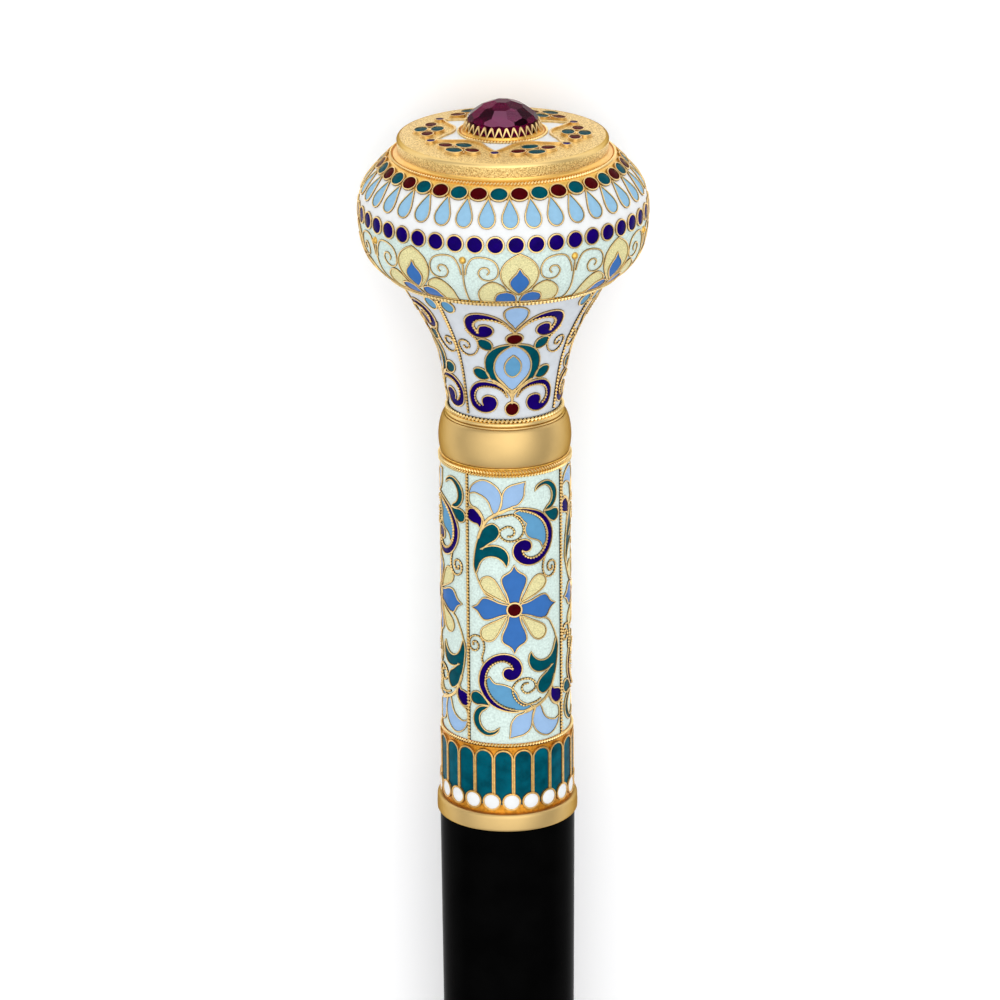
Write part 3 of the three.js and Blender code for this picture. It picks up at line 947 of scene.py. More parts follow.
lip = [(10.9, 0.0), (11.05, 0.05), (11.13, 0.18), (11.15, 0.4), (11.15, 1.2)]
brow = [(11.12, 2.1), (11.1, 2.4), (11.02, 2.62), (10.88, 2.74), (10.7, 2.8)]
turned_piece("handle_band", [lip + brow + [(9.6, 2.8), (9.6, 0.0)]], satin_gilt, ["band"])

# %% [markdown]
# The lowest part of the handle is an arcade of tall deep green cells under round arches, with a
# row of white beads at their feet. The cells are set in gilt metal, so its colour shows in the
# corners between the arches. Twenty-one bays fit round it.

# %% Arcade: gilt ring, arches and beads
BAYS = 21
BAY_START = -3.3
BEAD_START = 3.6
ARCADE_RUN = -2.4
ARCH_HALF = 1.42
ARCH_FOOT = 1.9
BEAD_RADIUS = 1.2


def arch_line(centre):
    """One arch: up the left side, over the round top, down the right side."""
    half = ARCH_HALF / arcade_skin.per_degree
    spring = 12.1 + ARCADE_RUN
    over = np.linspace(math.pi, 0, 15)
    top = np.stack([centre + half * np.cos(over), spring + ARCH_HALF * np.sin(over)], axis=1)
    left_side = upright(centre - half, ARCH_FOOT, spring - 0.3, 9)
    right_side = upright(centre + half, spring - 0.3, ARCH_FOOT, 9)
    return np.vstack([left_side, top, right_side])


metal, walls, glass, beads = Tray(), Tray(shade_lines=True), Tray(), Tray()
ground(metal, arcade_skin, 0.15, 11.6, -0.3, depth=1.2, steps=2)
for bay in range(BAYS):
    line = arch_line(BAY_START + bay * 360 / BAYS)
    cell(glass, arcade_skin, line, lift=-0.2)
    wire(walls, arcade_skin, line, width=0.27)
    bead = (BEAD_START + bay * 360 / BAYS, 4.85 + ARCADE_RUN)
    dot = oval(bead, BEAD_RADIUS / arcade_skin.per_degree, BEAD_RADIUS)
    button(beads, arcade_skin, dot, lift=-0.02, crown=0.16)
    ring_radius = BEAD_RADIUS + 0.12
    ring = oval(bead, ring_radius / arcade_skin.per_degree, ring_radius, 28)
    wire(walls, arcade_skin, ring, closed=True, width=0.28, top=0.12)
metal.piece("arcade_metal", amber_gilt, "gilt", ["arcade_ring"])
walls.piece("arcade_wires", old_gilt, "gilt")
walls.shade_lines.piece("arcade_shade_lines", tarnish_and_shade, "gilt")
glass.piece("arcade_teal", deep_teal, "teal_enamel")
beads.piece("arcade_beads", white, "white_enamel")

# %% [markdown]
# The sleeve is the long barrel of the handle. Four dividing cords make four panels, and in every
# panel a blue flower has a scroll above it and the same scroll below, turned half round. So one
# half of one panel is drawn, in millimetres from the flower's centre, and repeated eight times.
# No hand repeats itself exactly: the lower scroll is a little longer and sits a millimetre aside.

# %% Sleeve: the drawing
FLOWER_HEIGHT = 37.1
PANEL_MIDDLES = (7.2, 101.0, 188.6, 276.2)
DIVIDERS = (57.2, 147.5, 235.0, 324.3)
LOWER_ASIDE = 1.0
LOWER_STRETCH = 1.03
LEFT_PETAL = 0.93
HEART_RADII = (1.02, 1.14)
SLEEVE_FOOT = 14.0
SLEEVE_TURN = math.degrees(1 / 10.15)

double_leaf = [
    (-6.1, 5.75, 1), (-6.4, 7.05), (-6.3, 8.4), (-6.1, 9.8), (-5.7, 11.35), (-4.8, 13.2),
    (-4.2, 13.75), (-3.3, 14.1), (-2.5, 13.5), (-2.35, 12.7), (-2.85, 11.7), (-4, 10.9),
    (-5.25, 9.75, 1), (-4.6, 10.15), (-3.4, 10.5), (-2.3, 10.4), (-1.4, 9.8), (-0.9, 8.65),
    (-1.15, 7.15, 1), (-1.7, 8.05), (-2.4, 8.6), (-3.4, 8.85), (-4.6, 8.5), (-5.35, 7.7),
    (-5.8, 6.6),
]
leaf_stem = [(-6.1, 5.75), (-5.7, 4.55), (-5.25, 3.65), (-4.45, 2.4), (-3.3, 1.8), (-2.65, 1.35)]
cobalt_drop = [
    (-5.4, 13.4, 1), (-5.1, 14.1), (-5.1, 15), (-5.5, 15.8), (-6.2, 16.3), (-6.95, 16.25),
    (-7.5, 15.7), (-7.6, 15), (-7.1, 14.4), (-6.4, 14.1), (-5.7, 13.95),
]
drop_brow = [
    (-7.6, 15.9), (-7.2, 16.5), (-6.4, 16.65), (-5.6, 16.25), (-5, 15.45), (-4.7, 14.55),
    (-4.8, 13.9),
]
crescent = [
    (-7.2, 18.75, 1), (-6.7, 20), (-5.8, 20.8), (-4.7, 21.15), (-3.55, 20.8), (-2.5, 19.9),
    (-2, 18.75), (-1.95, 17.5), (-2.3, 16.5), (-3.05, 15.7, 1), (-3.5, 16.7), (-3.8, 17.6),
    (-4.45, 18.4), (-5.35, 18.9), (-6.4, 19.1),
]
inner_leaf = [
    (-7.2, 18.75), (-7.3, 17.95), (-7.05, 17.05), (-6.15, 16.35), (-5.5, 15.7), (-4.8, 14.65),
]
bud = [
    (-1.7, 18.3, 1), (-1.6, 19.1), (-1.15, 19.9), (-0.35, 20.4), (0.8, 20.65), (1.8, 20.9, 1),
    (1.6, 19.8), (1.55, 18.75), (1.2, 17.95), (0.55, 17.3), (-0.35, 17.05), (-1.05, 16.55),
    (-2.3, 16), (-2, 17.05),
]
thick_stem = [(-5.7, 11.6), (-5, 13.4), (-4, 14.9), (-2.65, 15.8), (-1.05, 16.5), (-0.15, 16.8)]
scroll_outer = [
    (-0.35, 16.55), (0.75, 16.7), (2.15, 16.55), (3.5, 16.15), (4.65, 15.55), (5.55, 14.65),
    (6.35, 13.4), (6.75, 12.05), (6.65, 10.7), (6.1, 9.3), (5.2, 8.2), (3.95, 7.4), (2.6, 7.15),
    (1.25, 7.5), (0.2, 8.4), (-0.2, 9.65), (0.1, 10.7), (0.75, 11.3), (1.8, 11.5), (2.65, 11),
    (2.85, 10.2), (2.5, 9.6), (1.8, 9.45), (1.25, 9.75),
]
scroll_inner = [
    (1.25, 9.75), (1.55, 9), (2.6, 8.35), (3.75, 8.5), (4.75, 9.2), (5.45, 10.45), (5.6, 11.8),
    (5.3, 13.2), (4.65, 14.3), (3.5, 15.35), (2.15, 16), (1, 16.3), (-0.35, 16.55),
]
field_edge = [
    (4.75, 9.9, 1), (4.4, 10.8), (3.75, 11.25), (2.7, 11.65), (2.15, 12.15), (1.85, 13.2),
    (2.1, 14.1, 1), (1.55, 14.65), (1, 15.4), (0.2, 15.9), (1, 16.3, 1),
]
field_back = [(2.15, 16), (3.5, 15.35), (4.65, 14.3), (5.3, 13.2), (5.6, 11.8), (5.3, 10.6)]
middle_spiral = [
    (-3.2, 14.9), (-2.2, 15.35), (-1.3, 15.5), (-0.35, 15.7), (0.55, 15.2), (1.25, 14.3),
    (1.55, 13.4), (1.45, 12.5), (0.8, 11.7), (-0.35, 11.3), (-1.4, 11.5), (-2.1, 12.15),
    (-2.2, 12.95), (-1.6, 13.5), (-0.8, 13.75), (-0.15, 13.4), (0.1, 12.7), (-0.35, 12.15),
    (-1.05, 12.15),
]
lower_edge = [
    (5.04, 11, 1), (4.2, 12.05), (2.87, 12.25), (1.9, 12.6), (0.75, 13.8), (0.4, 14.7),
    (-0.45, 15.4), (-1.6, 15.9), (-0.35, 16.45, 1),
]
hook_outer = [
    (3.4, 19.3), (3.95, 20.05), (4.75, 20.45), (5.65, 20.5), (6.6, 20.05), (7.35, 19.2),
    (7.65, 17.95), (7.3, 16.8), (6.55, 16.05), (5.2, 15.85),
]
hook_inner = [
    (5.2, 15.85), (5.6, 16.2), (6.25, 16.65), (6.75, 17.6), (6.65, 18.65), (6.1, 19.55),
    (5.3, 20.05), (4.4, 19.95), (3.4, 19.3),
]
side_drop = [
    (5.05, 15.6, 1), (6.2, 15.55), (7.1, 15.65), (7.8, 15.35), (8.1, 14.65), (7.8, 13.9),
    (7.15, 13.65), (6.35, 14), (5.75, 14.65),
]
small_spiral = [
    (5.2, 8.25), (4.95, 7.4), (4.8, 6.4), (5, 5.4), (5.6, 4.75), (6.4, 4.65), (7.1, 5.1),
    (7.4, 5.95), (7.2, 6.8), (6.5, 7.2), (5.85, 6.85), (5.75, 6.2), (6.2, 5.6), (6.75, 5.85),
    (6.6, 6.35),
]
half_petal = [
    (0.8, 1.1, 1), (0.98, 2.1), (1.28, 2.95), (1.68, 3.8), (1.9, 4.6), (1.88, 5.15), (1.5, 5.65),
    (0.9, 6.0), (0.48, 6.35), (0.2, 6.8),
]
petal = [(-x, y, *mark) for x, y, *mark in half_petal] + [(0, 7.3, 1)] + half_petal[::-1]
teardrop = mirrored([(0, 1.6, 1), (0.62, 3.5), (1.12, 5.1), (1.2, 5.9), (0.85, 6.7), (0, 7.05)])


def joined(first, second):
    """Two smooth edges that meet at both ends, as one closed outline."""
    return np.vstack([smooth(first)[:-1], smooth(second)[:-1]])


def turned(points, degrees):
    """A flat drawing turned about its centre; corner marks stay."""
    c, s = math.cos(math.radians(degrees)), math.sin(math.radians(degrees))
    return [(c * x - s * y, s * x + c * y, *mark) for x, y, *mark in points]


print("sleeve drawing ready")

# %% [markdown]
# Each shape is made eight times. The plain wires, the twisted cords and every colour of enamel go
# into trays of their own, so each becomes one piece with one finish.

# %% Sleeve: metal, wires and enamel
sleeve_ground = Tray()
blues = ("periwinkle", "sky", "cornflower")
sleeve = Goldwork(sleeve_skin, "teal", "cobalt", *blues, "yellow", "red")
ground(sleeve_ground, sleeve_skin, 0.35, 44.85, -0.25, depth=0.9, steps=2)


def on_sleeve(line, panel, flip, aside=None):
    """Places a drawing made in mm from a flower's centre; `flip` -1 turns it half round.

    A lower scroll is given `aside`, the mm it moves over on top of what they all do.
    """
    line = np.asarray(line, float)
    if aside is not None and flip < 0:
        line = line * [1, LOWER_STRETCH] - [LOWER_ASIDE + aside, 0]
    line = line * flip
    degrees = PANEL_MIDDLES[panel] + line[:, 0] * SLEEVE_TURN
    return np.stack([degrees, FLOWER_HEIGHT - SLEEVE_FOOT + line[:, 1]], axis=1)


scroll = joined(scroll_outer, scroll_inner)
hook = joined(hook_outer, hook_inner)
field = joined(field_edge, [field_edge[-1]] + field_back + [field_edge[0]])
lower_field = joined(lower_edge, [lower_edge[-1], (1, 16.3)] + field_back[:-1] + [lower_edge[0]])
filled = [
    ("teal", smooth(double_leaf, True), 0.19, 0.45),
    ("teal", hook, 0.18, 0),
    ("teal", smooth(side_drop, True), 0.18, 0),
    ("cobalt", smooth(cobalt_drop, True), 0.18, 0.2),
    ("cobalt", scroll, 0, 0),
    ("periwinkle", smooth(crescent, True), 0.19, 0),
    ("periwinkle", smooth(bud, True), 0.19, 0),
]
open_wires = [
    (leaf_stem[:-1], 0.24, 0.45), (drop_brow, 0.2, 0.2), (inner_leaf, 0.2, 0),
    (thick_stem, 0.46, 0.45), (scroll_outer, 0.2, 0),
]
open_beads = [(middle_spiral, 0.38, 0.2), (scroll_inner[:-1], 0.42, 0)]
for panel in range(4):
    for flip in (1, -1):
        spiral = on_sleeve(smooth([(4.95, 9.2)] * (flip < 0) + small_spiral), panel, flip)
        sleeve.beads(spiral, 0.36)
        sky_field = ("sky", field if flip > 0 else lower_field, 0.18, 0)
        for colour, line, width, aside in filled + [sky_field]:
            sleeve.cell(colour, on_sleeve(line, panel, flip, aside), width, GLASS_BY, wire_by=0.09)
        for points, width, aside in open_wires:
            sleeve.wire(on_sleeve(smooth(points), panel, flip, aside), width)
        for points, width, aside in open_beads:
            sleeve.beads(on_sleeve(smooth(points), panel, flip, aside), width)
        for quarter in (0, 90):
            reach = LEFT_PETAL if quarter and flip > 0 else 1.0
            flower = smooth(turned(petal, quarter), True) * reach
            drop = smooth(turned(teardrop, quarter + 45), True)
            sleeve.cell("cornflower", on_sleeve(flower, panel, flip), 0.2, GLASS_BY)
            sleeve.cell("yellow", on_sleeve(drop, panel, flip), 0.2, GLASS_BY)
    heart, ring = (on_sleeve(oval((0, 0), r, r), panel, 1) for r in HEART_RADII)
    sleeve.dot("red", heart, ring, 0.26, lift=0.02, top=0.1)
    divider = upright(DIVIDERS[panel], 0.3, 44.9, 200)
    sleeve.beads(divider, 0.58, 0.54, 0.2, waist=0.04)
sleeve_ground.piece("sleeve_mint_ground", mint, "mint_enamel", ["sleeve"])
sleeve.gold_pieces("sleeve")
sleeve.enamel_pieces("sleeve")

# %% [markdown]
# Small rings of metal finish every joint of the handle. A broad polished collar bulges between the
# sleeve and the neck. Above it sits a smooth ring, and a twisted cord hides each enamel edge. A
# cord is one closed tube of leaning beads, laid right round. Two of them lie together under the
# collar and lean opposite ways, like a plait. A plain ring closes the underside of the knob.

# %% Collar, rings and border cords
belly = bezier((10.02, 60.35), (10.42, 61.3), (10.62, 63.9), (9.75, 66.1), 24)
collar = np.vstack([[(8.0, 60.35)], belly, [(9.5, 66.3), (8.0, 66.3)]])
turned_piece("polished_collar", [collar], satin_gilt, ["collar"])

ring_core = [(8.9, 66.2), (8.9, 67.3), (8.0, 67.3), (8.0, 66.2)]
ring_outlines = [oval((8.86, 66.96), 0.46, 0.4, 16), oval((9.08, 66.4), 0.28, 0.2, 12), ring_core]
turned_piece("neck_ring_polished", ring_outlines, polished_gilt, ["neck_ring"])


def border(
    name, stands_for, radius, height, width, pitch=0.5, slant=0.55, waist=0.14, behind=deep_shade
):
    """A twisted cord right round the staff, with a strip behind it whose colour shows between the
    beads: dark painted shade unless a gold is given.
    """
    tray = Tray(shade_lines=True)
    track = Skin([(radius, height - 1), (radius, height + 1)], radius)
    beaded(tray, track, circle_line(1.0, 240), True, width, pitch, slant, waist, middle=0.0)
    tray.shade_lines.piece(name + "_shade_line", behind, "gilt")
    return tray.piece(name, border_gilt, "gilt", stands_for)


border("sleeve_lower_cord", ["sleeve_lower_rope"], 10.3, 14.35, 0.54, behind=amber_gilt)
border("sleeve_upper_cord", ["sleeve_upper_rope"], 10.12, 59.08, 0.66, 0.5, 0.6, 0.06, ground_gilt)
border("sleeve_collar_cord", ["sleeve_wire"], 10.16, 59.7, 0.66, 0.5, -0.6, 0.06, ground_gilt)
border("neck_lower_cord", ["neck_lower_rope"], 8.95, 67.62, 0.74, 0.68, 0.4)
border("neck_upper_cord", ["neck_upper_rope"], 17.06, 89.0, 0.46, 0.6, 0.3, 0.04)
border("knob_lower_cord", ["knob_lower_rope"], 17.92, 89.5, 0.48, 0.6, 0.3, 0.04)
border("disc_cord", ["disc_rope"], 17.14, 108.06, 0.52, 0.52, 0.4, behind=amber_gilt)

underside = [(16.6, 88.95), (17.1, 88.98), (17.8, 89.35), (17.8, 89.75), (16.6, 89.75)]
turned_piece("knob_underside", [underside], ground_gilt)
upper_core = [(9.8, 58.8), (9.8, 60.4), (8.9, 60.4), (8.9, 58.8)]
turned_piece("sleeve_upper_ring", [oval((9.98, 60.16), 0.2, 0.14, 12), upper_core], ground_gilt)

# %% [markdown]
# The neck flares like a trumpet. Four cords divide it, and each panel carries a palmette: scrolls
# above and below, with a pointed medallion between them. The right half mirrors the left, so only
# the left half is drawn. Angles are in degrees from the panel's middle, because the width of a
# panel grows with the flare while its pattern keeps the same angles.

# %% Neck: the drawing
NECK_MIDDLES = (7.2, 101.0, 189.0, 276.0)
NECK_DIVIDERS = (58.3, 146.0, 233.0, 320.6)
fan = [
    (0, 17.3, 1), (-2.0, 18.2), (-4.5, 19.0), (-6.3, 19.9), (-6.8, 20.8), (-6.0, 21.6),
    (-3.6, 22.15), (0, 22.35),
]
upper_scroll = [
    (-1.5, 16.7), (-3.9, 17.8), (-7.4, 18.95), (-12.1, 20), (-18, 20.65), (-23.9, 20.75),
    (-28.4, 20.3), (-31.5, 19.4), (-33, 18.05), (-32.1, 16.7), (-28.4, 15.65), (-22.7, 15.35),
    (-17.4, 15.75), (-14.5, 16.7), (-15.4, 17.7), (-19.2, 18.2), (-22.7, 18), (-24.7, 17.1),
    (-24.9, 16.3),
]
upper_inner = [
    (-24.9, 16.3), (-26.2, 17), (-27.2, 17.8), (-26.5, 18.5), (-23.9, 19.2), (-19.8, 19.5),
    (-14.5, 19.4), (-9.8, 18.95), (-5.6, 18.05), (-2.3, 16.9), (-1.5, 16.7),
]
medallion = [
    (0, 13.7, 1), (-6.2, 13.05), (-12.1, 11.7), (-15.4, 10.1), (-15.6, 8.95), (-13.3, 7.7),
    (-8.6, 6.7), (-3.9, 5.9), (0, 5.5, 1),
]
mandorla = [(0, 11.75, 1), (-4, 11), (-6.6, 9.9), (-5.8, 8.7), (-2.6, 8.05), (0, 7.9)]
green_outer = [
    (-1.6, 13.95), (-6, 13.9), (-12.1, 13.5), (-18.8, 12.4), (-22.6, 11.0), (-23.4, 9.7),
    (-22.4, 8.5), (-18.8, 7.4), (-13.5, 6.6), (-7.5, 5.9), (-2.2, 5.3),
]
green_inner = [
    (-2.2, 5.3), (-5.5, 6.1), (-9.6, 6.95), (-13.9, 7.85), (-16.2, 9), (-15.9, 10.2), (-12.3, 11.8),
    (-6.4, 13.1), (-1.6, 13.95),
]
lower_scroll = [
    (-4.1, 4.2), (-6.2, 5.3), (-10.9, 6.35), (-18, 6.8), (-25, 6.95), (-32.1, 6.7), (-38, 5.9),
    (-41.5, 4.85), (-42.1, 3.7), (-40.4, 2.6), (-35, 1.8), (-28.6, 1.5), (-21.5, 1.7),
    (-16.2, 2.35), (-14.2, 3.3), (-16.2, 4.2), (-20.4, 4.5), (-25, 4.45), (-28.8, 3.95),
    (-29.4, 3.4), (-28.4, 2.75),
]
lower_inner = [
    (-28.4, 2.75), (-31, 2.7), (-33.9, 3.05), (-36.2, 3.85), (-35.6, 4.75), (-32.7, 5.55),
    (-27.4, 6), (-20.4, 6.1), (-13.9, 5.9), (-8.6, 5.3), (-4.8, 4.3), (-4.1, 4.2),
]
upper_stem = [(-0.3, 16.35), (-1.4, 16.9), (-4.0, 17.75)]
lower_stem = [(-0.3, 3.2), (-0.6, 4.2), (-3.4, 5.15), (-7.6, 6.0), (-12.5, 6.75), (-18, 7.25)]
neck_spiral = [
    (-33.5, 17), (-31, 15.9), (-27.5, 14.9), (-26.8, 13.7), (-28.4, 12.6), (-31.5, 11.8),
    (-37.4, 11.45), (-41.8, 11.9), (-43.6, 12.7), (-43.2, 13.7), (-40.1, 14.35), (-36.4, 14.3),
    (-34.3, 13.7), (-35, 13), (-38, 12.85), (-39.6, 13.3),
]


def leaf(centre, half_long, half_wide, lean):
    """A small pointed leaf, `lean` degrees from level, as corners and curves in degrees and mm."""
    upper = [(-0.55, 0.72), (0.2, 1.0), (0.8, 0.6)]
    flat = [(-1, 0)] + upper + [(1, 0)] + [(x, -y) for x, y in upper[::-1]]
    c, s = math.cos(math.radians(lean)), math.sin(math.radians(lean))
    points = []
    for x, y in flat:
        x, y = x * half_long, y * half_wide
        along = centre[0] + (c * x - s * y) / neck_skin.per_degree
        points.append((along, centre[1] + s * x + c * y))
    points[0] = (*points[0], 1)
    return points


def drawn(skin, points, closed=False):
    """A smooth line through points in degrees and mm, all in mm so that both count alike."""
    return smooth([(x * skin.per_degree, y, *mark) for x, y, *mark in points], closed)


print("neck drawing ready")

# %% [markdown]
# The neck is built like the sleeve: first the white ground, then cells, wires and beads. A shape
# on a panel's middle line is made once for each panel, and every other shape once on each side of
# it. The cords that divide the panels hide where one pattern ends and the next begins.

# %% Neck: metal, wires and enamel
neck_ground = Tray()
neck = Goldwork(neck_skin, "teal", "cobalt", "periwinkle", "sky", "blue", "red")
ground(neck_ground, neck_skin, 0.45, 22.75, -0.25, depth=0.9, steps=36)


def crescent_of(outer, inner):
    """A closed outline from its outer and inner edges, both in degrees and mm."""
    return np.vstack([drawn(neck_skin, outer)[:-1], drawn(neck_skin, inner)[:-1]])


halves = [
    ("cobalt", crescent_of(upper_scroll, upper_inner), 0),
    ("cobalt", crescent_of(lower_scroll, lower_inner), 0),
    ("teal", crescent_of(green_outer, green_inner), 0.2),
    ("teal", drawn(neck_skin, leaf((-21.3, 13.9), 1.3, 0.95, 128), True), 0.2),
    ("teal", drawn(neck_skin, leaf((-27.6, 8.2), 1.5, 0.92, 158), True), 0.2),
]
middles = [
    ("periwinkle", drawn(neck_skin, mirrored(fan), True), 0.2, -0.17),
    ("periwinkle", drawn(neck_skin, mirrored(medallion), True), 0.22, -0.17),
    ("sky", drawn(neck_skin, mirrored(mandorla), True), 0.24, -0.14),
]
neck_beads = [(upper_inner[:-1], 0.4), (lower_inner[1:-1], 0.4), (neck_spiral, 0.33)]
neck_lines = [(upper_stem, 0.34), (lower_stem, 0.34), (upper_scroll, 0.2), (lower_scroll, 0.2)]
for panel in range(4):
    centre = NECK_MIDDLES[panel]
    for colour, line, width, lift in middles:
        neck.cell(colour, placed(neck_skin, line, centre), width, lift=lift)
    for side in (1, -1):
        for colour, line, width in halves:
            neck.cell(colour, placed(neck_skin, line, centre, side), width, GLASS_BY, wire_by=0.08)
        for points, width in neck_beads:
            neck.beads(placed(neck_skin, drawn(neck_skin, points), centre, side), width)
        for points, width in neck_lines:
            neck.wire(placed(neck_skin, drawn(neck_skin, points), centre, side), width)
        spot = (NECK_DIVIDERS[panel] + 6.0 * side, 21.5)
        neck.dot("blue", oval(spot, 4.0, 1.2), oval(spot, 4.35, 1.3), 0.2, crown=0.04)
    for height, half_width, half_height in ((15.2, 5.3, 0.98), (2.3, 6.1, 1.02)):
        drop = oval((centre, height), half_width, half_height)
        ring = oval((centre, height), half_width + 0.7, half_height + 0.14)
        neck.dot("red", drop, ring, 0.24, lift=-0.14, crown=0.06, top=0.04)
    divider = upright(NECK_DIVIDERS[panel], 0.9, 22.7, 120)
    neck.beads(divider, 0.54, 0.56, 0.2, waist=0.04)
    for low, high, width in ((3.2, 4.7, 0.5), (4.5, 5.55, 0.95)):
        neck.wire(upright(centre, low, high, 6), width, top=0.03)
neck_ground.piece("neck_white_ground", neck_white, "white_enamel", ["neck"])
neck.gold_pieces("neck")
neck.enamel_pieces("neck")

# %% [markdown]
# The knob is a squashed ball with its pattern in rings. From the top come a ring of red and green
# ovals in gold, pale blue drops on white, and cobalt dots. Under the widest part, eight palmettes
# stand on mint with wire spirals between them.

# %% Knob: grounds and rings of dots
OVALS = 38
OVAL_START = 7.5
OVAL_RUN = 20.1
DROP_RUN = 16.5
DOTS = 45
DOT_START = 4.8
DOT_RUN = 12.0
knob_mint, knob_white, knob_gold = Tray(), Tray(), Tray()
knob_beads = Tray()
knob = Goldwork(knob_skin, "red", "teal", "drops", "cobalt", "yellow", "cornflower")
ground(knob_mint, knob_skin, 0.25, DOT_RUN, -0.25, steps=26)
ground(knob_white, knob_skin, DOT_RUN, 19.2, -0.25, steps=18)
ground(knob_gold, knob_skin, 19.2, 21.49, -0.28, steps=6)


def knob_degree(run):
    """How many mm one degree spans at a distance along the knob."""
    return math.radians(float(knob_skin.profile(run, 0)[0]))


half_drop = [
    (0, 19.3, 1), (-0.34, 18.6), (-0.85, 17.4), (-1.15, 16.35), (-1.06, 15.4), (-0.6, 14.8),
    (0, 14.62),
]
drop_line = smooth(mirrored(half_drop), True)
for i in range(OVALS):
    spot = (OVAL_START + i * 360 / OVALS, OVAL_RUN)
    wide = knob_degree(OVAL_RUN)
    colour = "red" if i % 2 == 0 else "teal"
    stone, ring = oval(spot, 1.27 / wide, 1.04), oval(spot, 1.36 / wide, 1.13)
    knob.dot(colour, stone, ring, 0.2, lift=-0.08, crown=0.1, top=0.1)
    across = spot[0] + 180 / OVALS + drop_line[:, 0] / knob_degree(DROP_RUN)
    knob.cell("drops", np.stack([across, drop_line[:, 1]], axis=1), 0.19)
for i in range(DOTS):
    spot = (DOT_START + i * 360 / DOTS, DOT_RUN)
    wide = knob_degree(DOT_RUN)
    blue, ring = oval(spot, 1.14 / wide, 1.14), oval(spot, 1.27 / wide, 1.27, 28)
    knob.dot("cobalt", blue, ring, 0.22, lift=-0.1, crown=0.1, top=0.06)
print(OVALS, "ovals and", DOTS, "dots")

# %% [markdown]
# A palmette is a big pointed petal with a smaller blue one inside it, a rounded petal on each
# side, and two blue half-ovals at its foot. Between two palmettes stands a stem with a gold bead,
# and a wire spiral curls away on both sides.

# %% Knob: palmettes and spirals
PALMETTES = 8
PALMETTE_START = 6.3
big_petal = [
    (0, 10.5, 1), (-3.2, 9.9), (-6.0, 8.9), (-7.4, 7.6), (-7.1, 6.4), (-5.4, 5.1), (-3, 4),
    (-1.2, 3.3), (0, 3.0, 1),
]
blue_petal = [
    (0, 8.25, 1), (-1.1, 7.4), (-3, 6.6), (-3.8, 5.8), (-3.2, 5.0), (-1.8, 4.2), (-0.9, 3.8),
    (0, 3.5),
]
side_petal = [
    (-16.8, 0.5, 1), (-17.2, 2), (-16.6, 3.9), (-14.3, 5.2), (-10.8, 5.85), (-7.8, 5.35),
    (-6.0, 4.6), (-5.6, 3.9, 1), (-8.8, 3.5), (-10.3, 2.2), (-10.5, 0.5, 1),
]
foot_petal = [
    (-10.2, 0.5, 1), (-10.1, 2), (-8.8, 3.3), (-5.6, 3.85), (-2.4, 3.3), (-1.1, 2), (-1, 0.5, 1),
]
stem = [(0, 0.5), (0.15, 3), (0, 6), (0.1, 8.7)]
stem_spiral = [
    (-0.9, 7), (-1.7, 8.5), (-3.8, 9.75), (-8.6, 10.0), (-12.7, 9.3), (-14.1, 8), (-13.2, 6.7),
    (-10.2, 6.15), (-7.3, 6.5), (-6.2, 7.5), (-7.6, 8.3), (-9.6, 8.3), (-10.5, 7.75), (-9.6, 7.2),
]
BEAD_RUN = 9.4
whole_petals = [
    ("yellow", drawn(knob_skin, mirrored(big_petal), True), -0.17),
    ("cornflower", drawn(knob_skin, mirrored(blue_petal), True), -0.13),
]
half_petals = [
    ("yellow", drawn(knob_skin, side_petal, True)),
    ("cornflower", drawn(knob_skin, foot_petal, True)),
]
for i in range(PALMETTES):
    middle = PALMETTE_START + i * 360 / PALMETTES
    between = middle + 180 / PALMETTES
    for colour, line, lift in whole_petals:
        knob.cell(colour, placed(knob_skin, line, middle), 0.18, wire_by=0.06, lift=lift)
    for side in (1, -1):
        for colour, line in half_petals:
            knob.cell(colour, placed(knob_skin, line, middle, side), 0.18, wire_by=0.04)
        curl = placed(knob_skin, drawn(knob_skin, stem_spiral), between, side)
        knob.wire(curl, 0.2, top=-0.04)
    knob.wire(placed(knob_skin, drawn(knob_skin, stem), between), 0.22, top=-0.04)
    bead_line = oval((between, BEAD_RUN), 0.55 / knob_degree(BEAD_RUN), 0.6, 12)
    button(knob_beads, knob_skin, bead_line, lift=-0.1, crown=0.35)
knob_mint.piece("knob_mint_ground", mint, "mint_enamel", ["knob"])
knob_white.piece("knob_white_ground", white, "white_enamel")
knob_gold.piece("knob_gold_ground", ground_gilt, "gilt")
knob.wires.piece("knob_wires", wire_gilt, "gilt")
knob_beads.piece("knob_beads", ground_gilt, "gilt")
knob.wires.shade_lines.piece("knob_shade_lines", tarnish_and_shade, "gilt")
knob.enamel_pieces("knob")

# %% [markdown]
# The top is a thick gilt disc, stippled all over with a punch so that it glitters softly. It
# stands on a smooth polished cove. A white star is let into its face. Each gold lobe between two
# points of the star carries four raised cups filled with green and red enamel.

# %% Top disc: body and star
DISC_TOP = 110.85
DISC_RISE = 0.55
DISC_EDGE = 15.7
DISC_SIDES = 240
STAR_TURN = -6
STAR_TIP, STAR_WAIST = 11.2, 7.3


class Plate:
    """The face of the disc: flat mm across and outward, with lift along the staff."""
    per_degree = 1.0

    def at(self, across, outward, lift):
        """World points on the disc, `lift` mm above its face."""
        across, outward = np.asarray(across, float), np.asarray(outward, float)
        far = np.hypot(across, outward)
        height = DISC_TOP + DISC_RISE * (1 - np.minimum(far / DISC_EDGE, 1) ** 2) + lift
        return settle(to_world(far, np.degrees(np.arctan2(across, outward)), height))


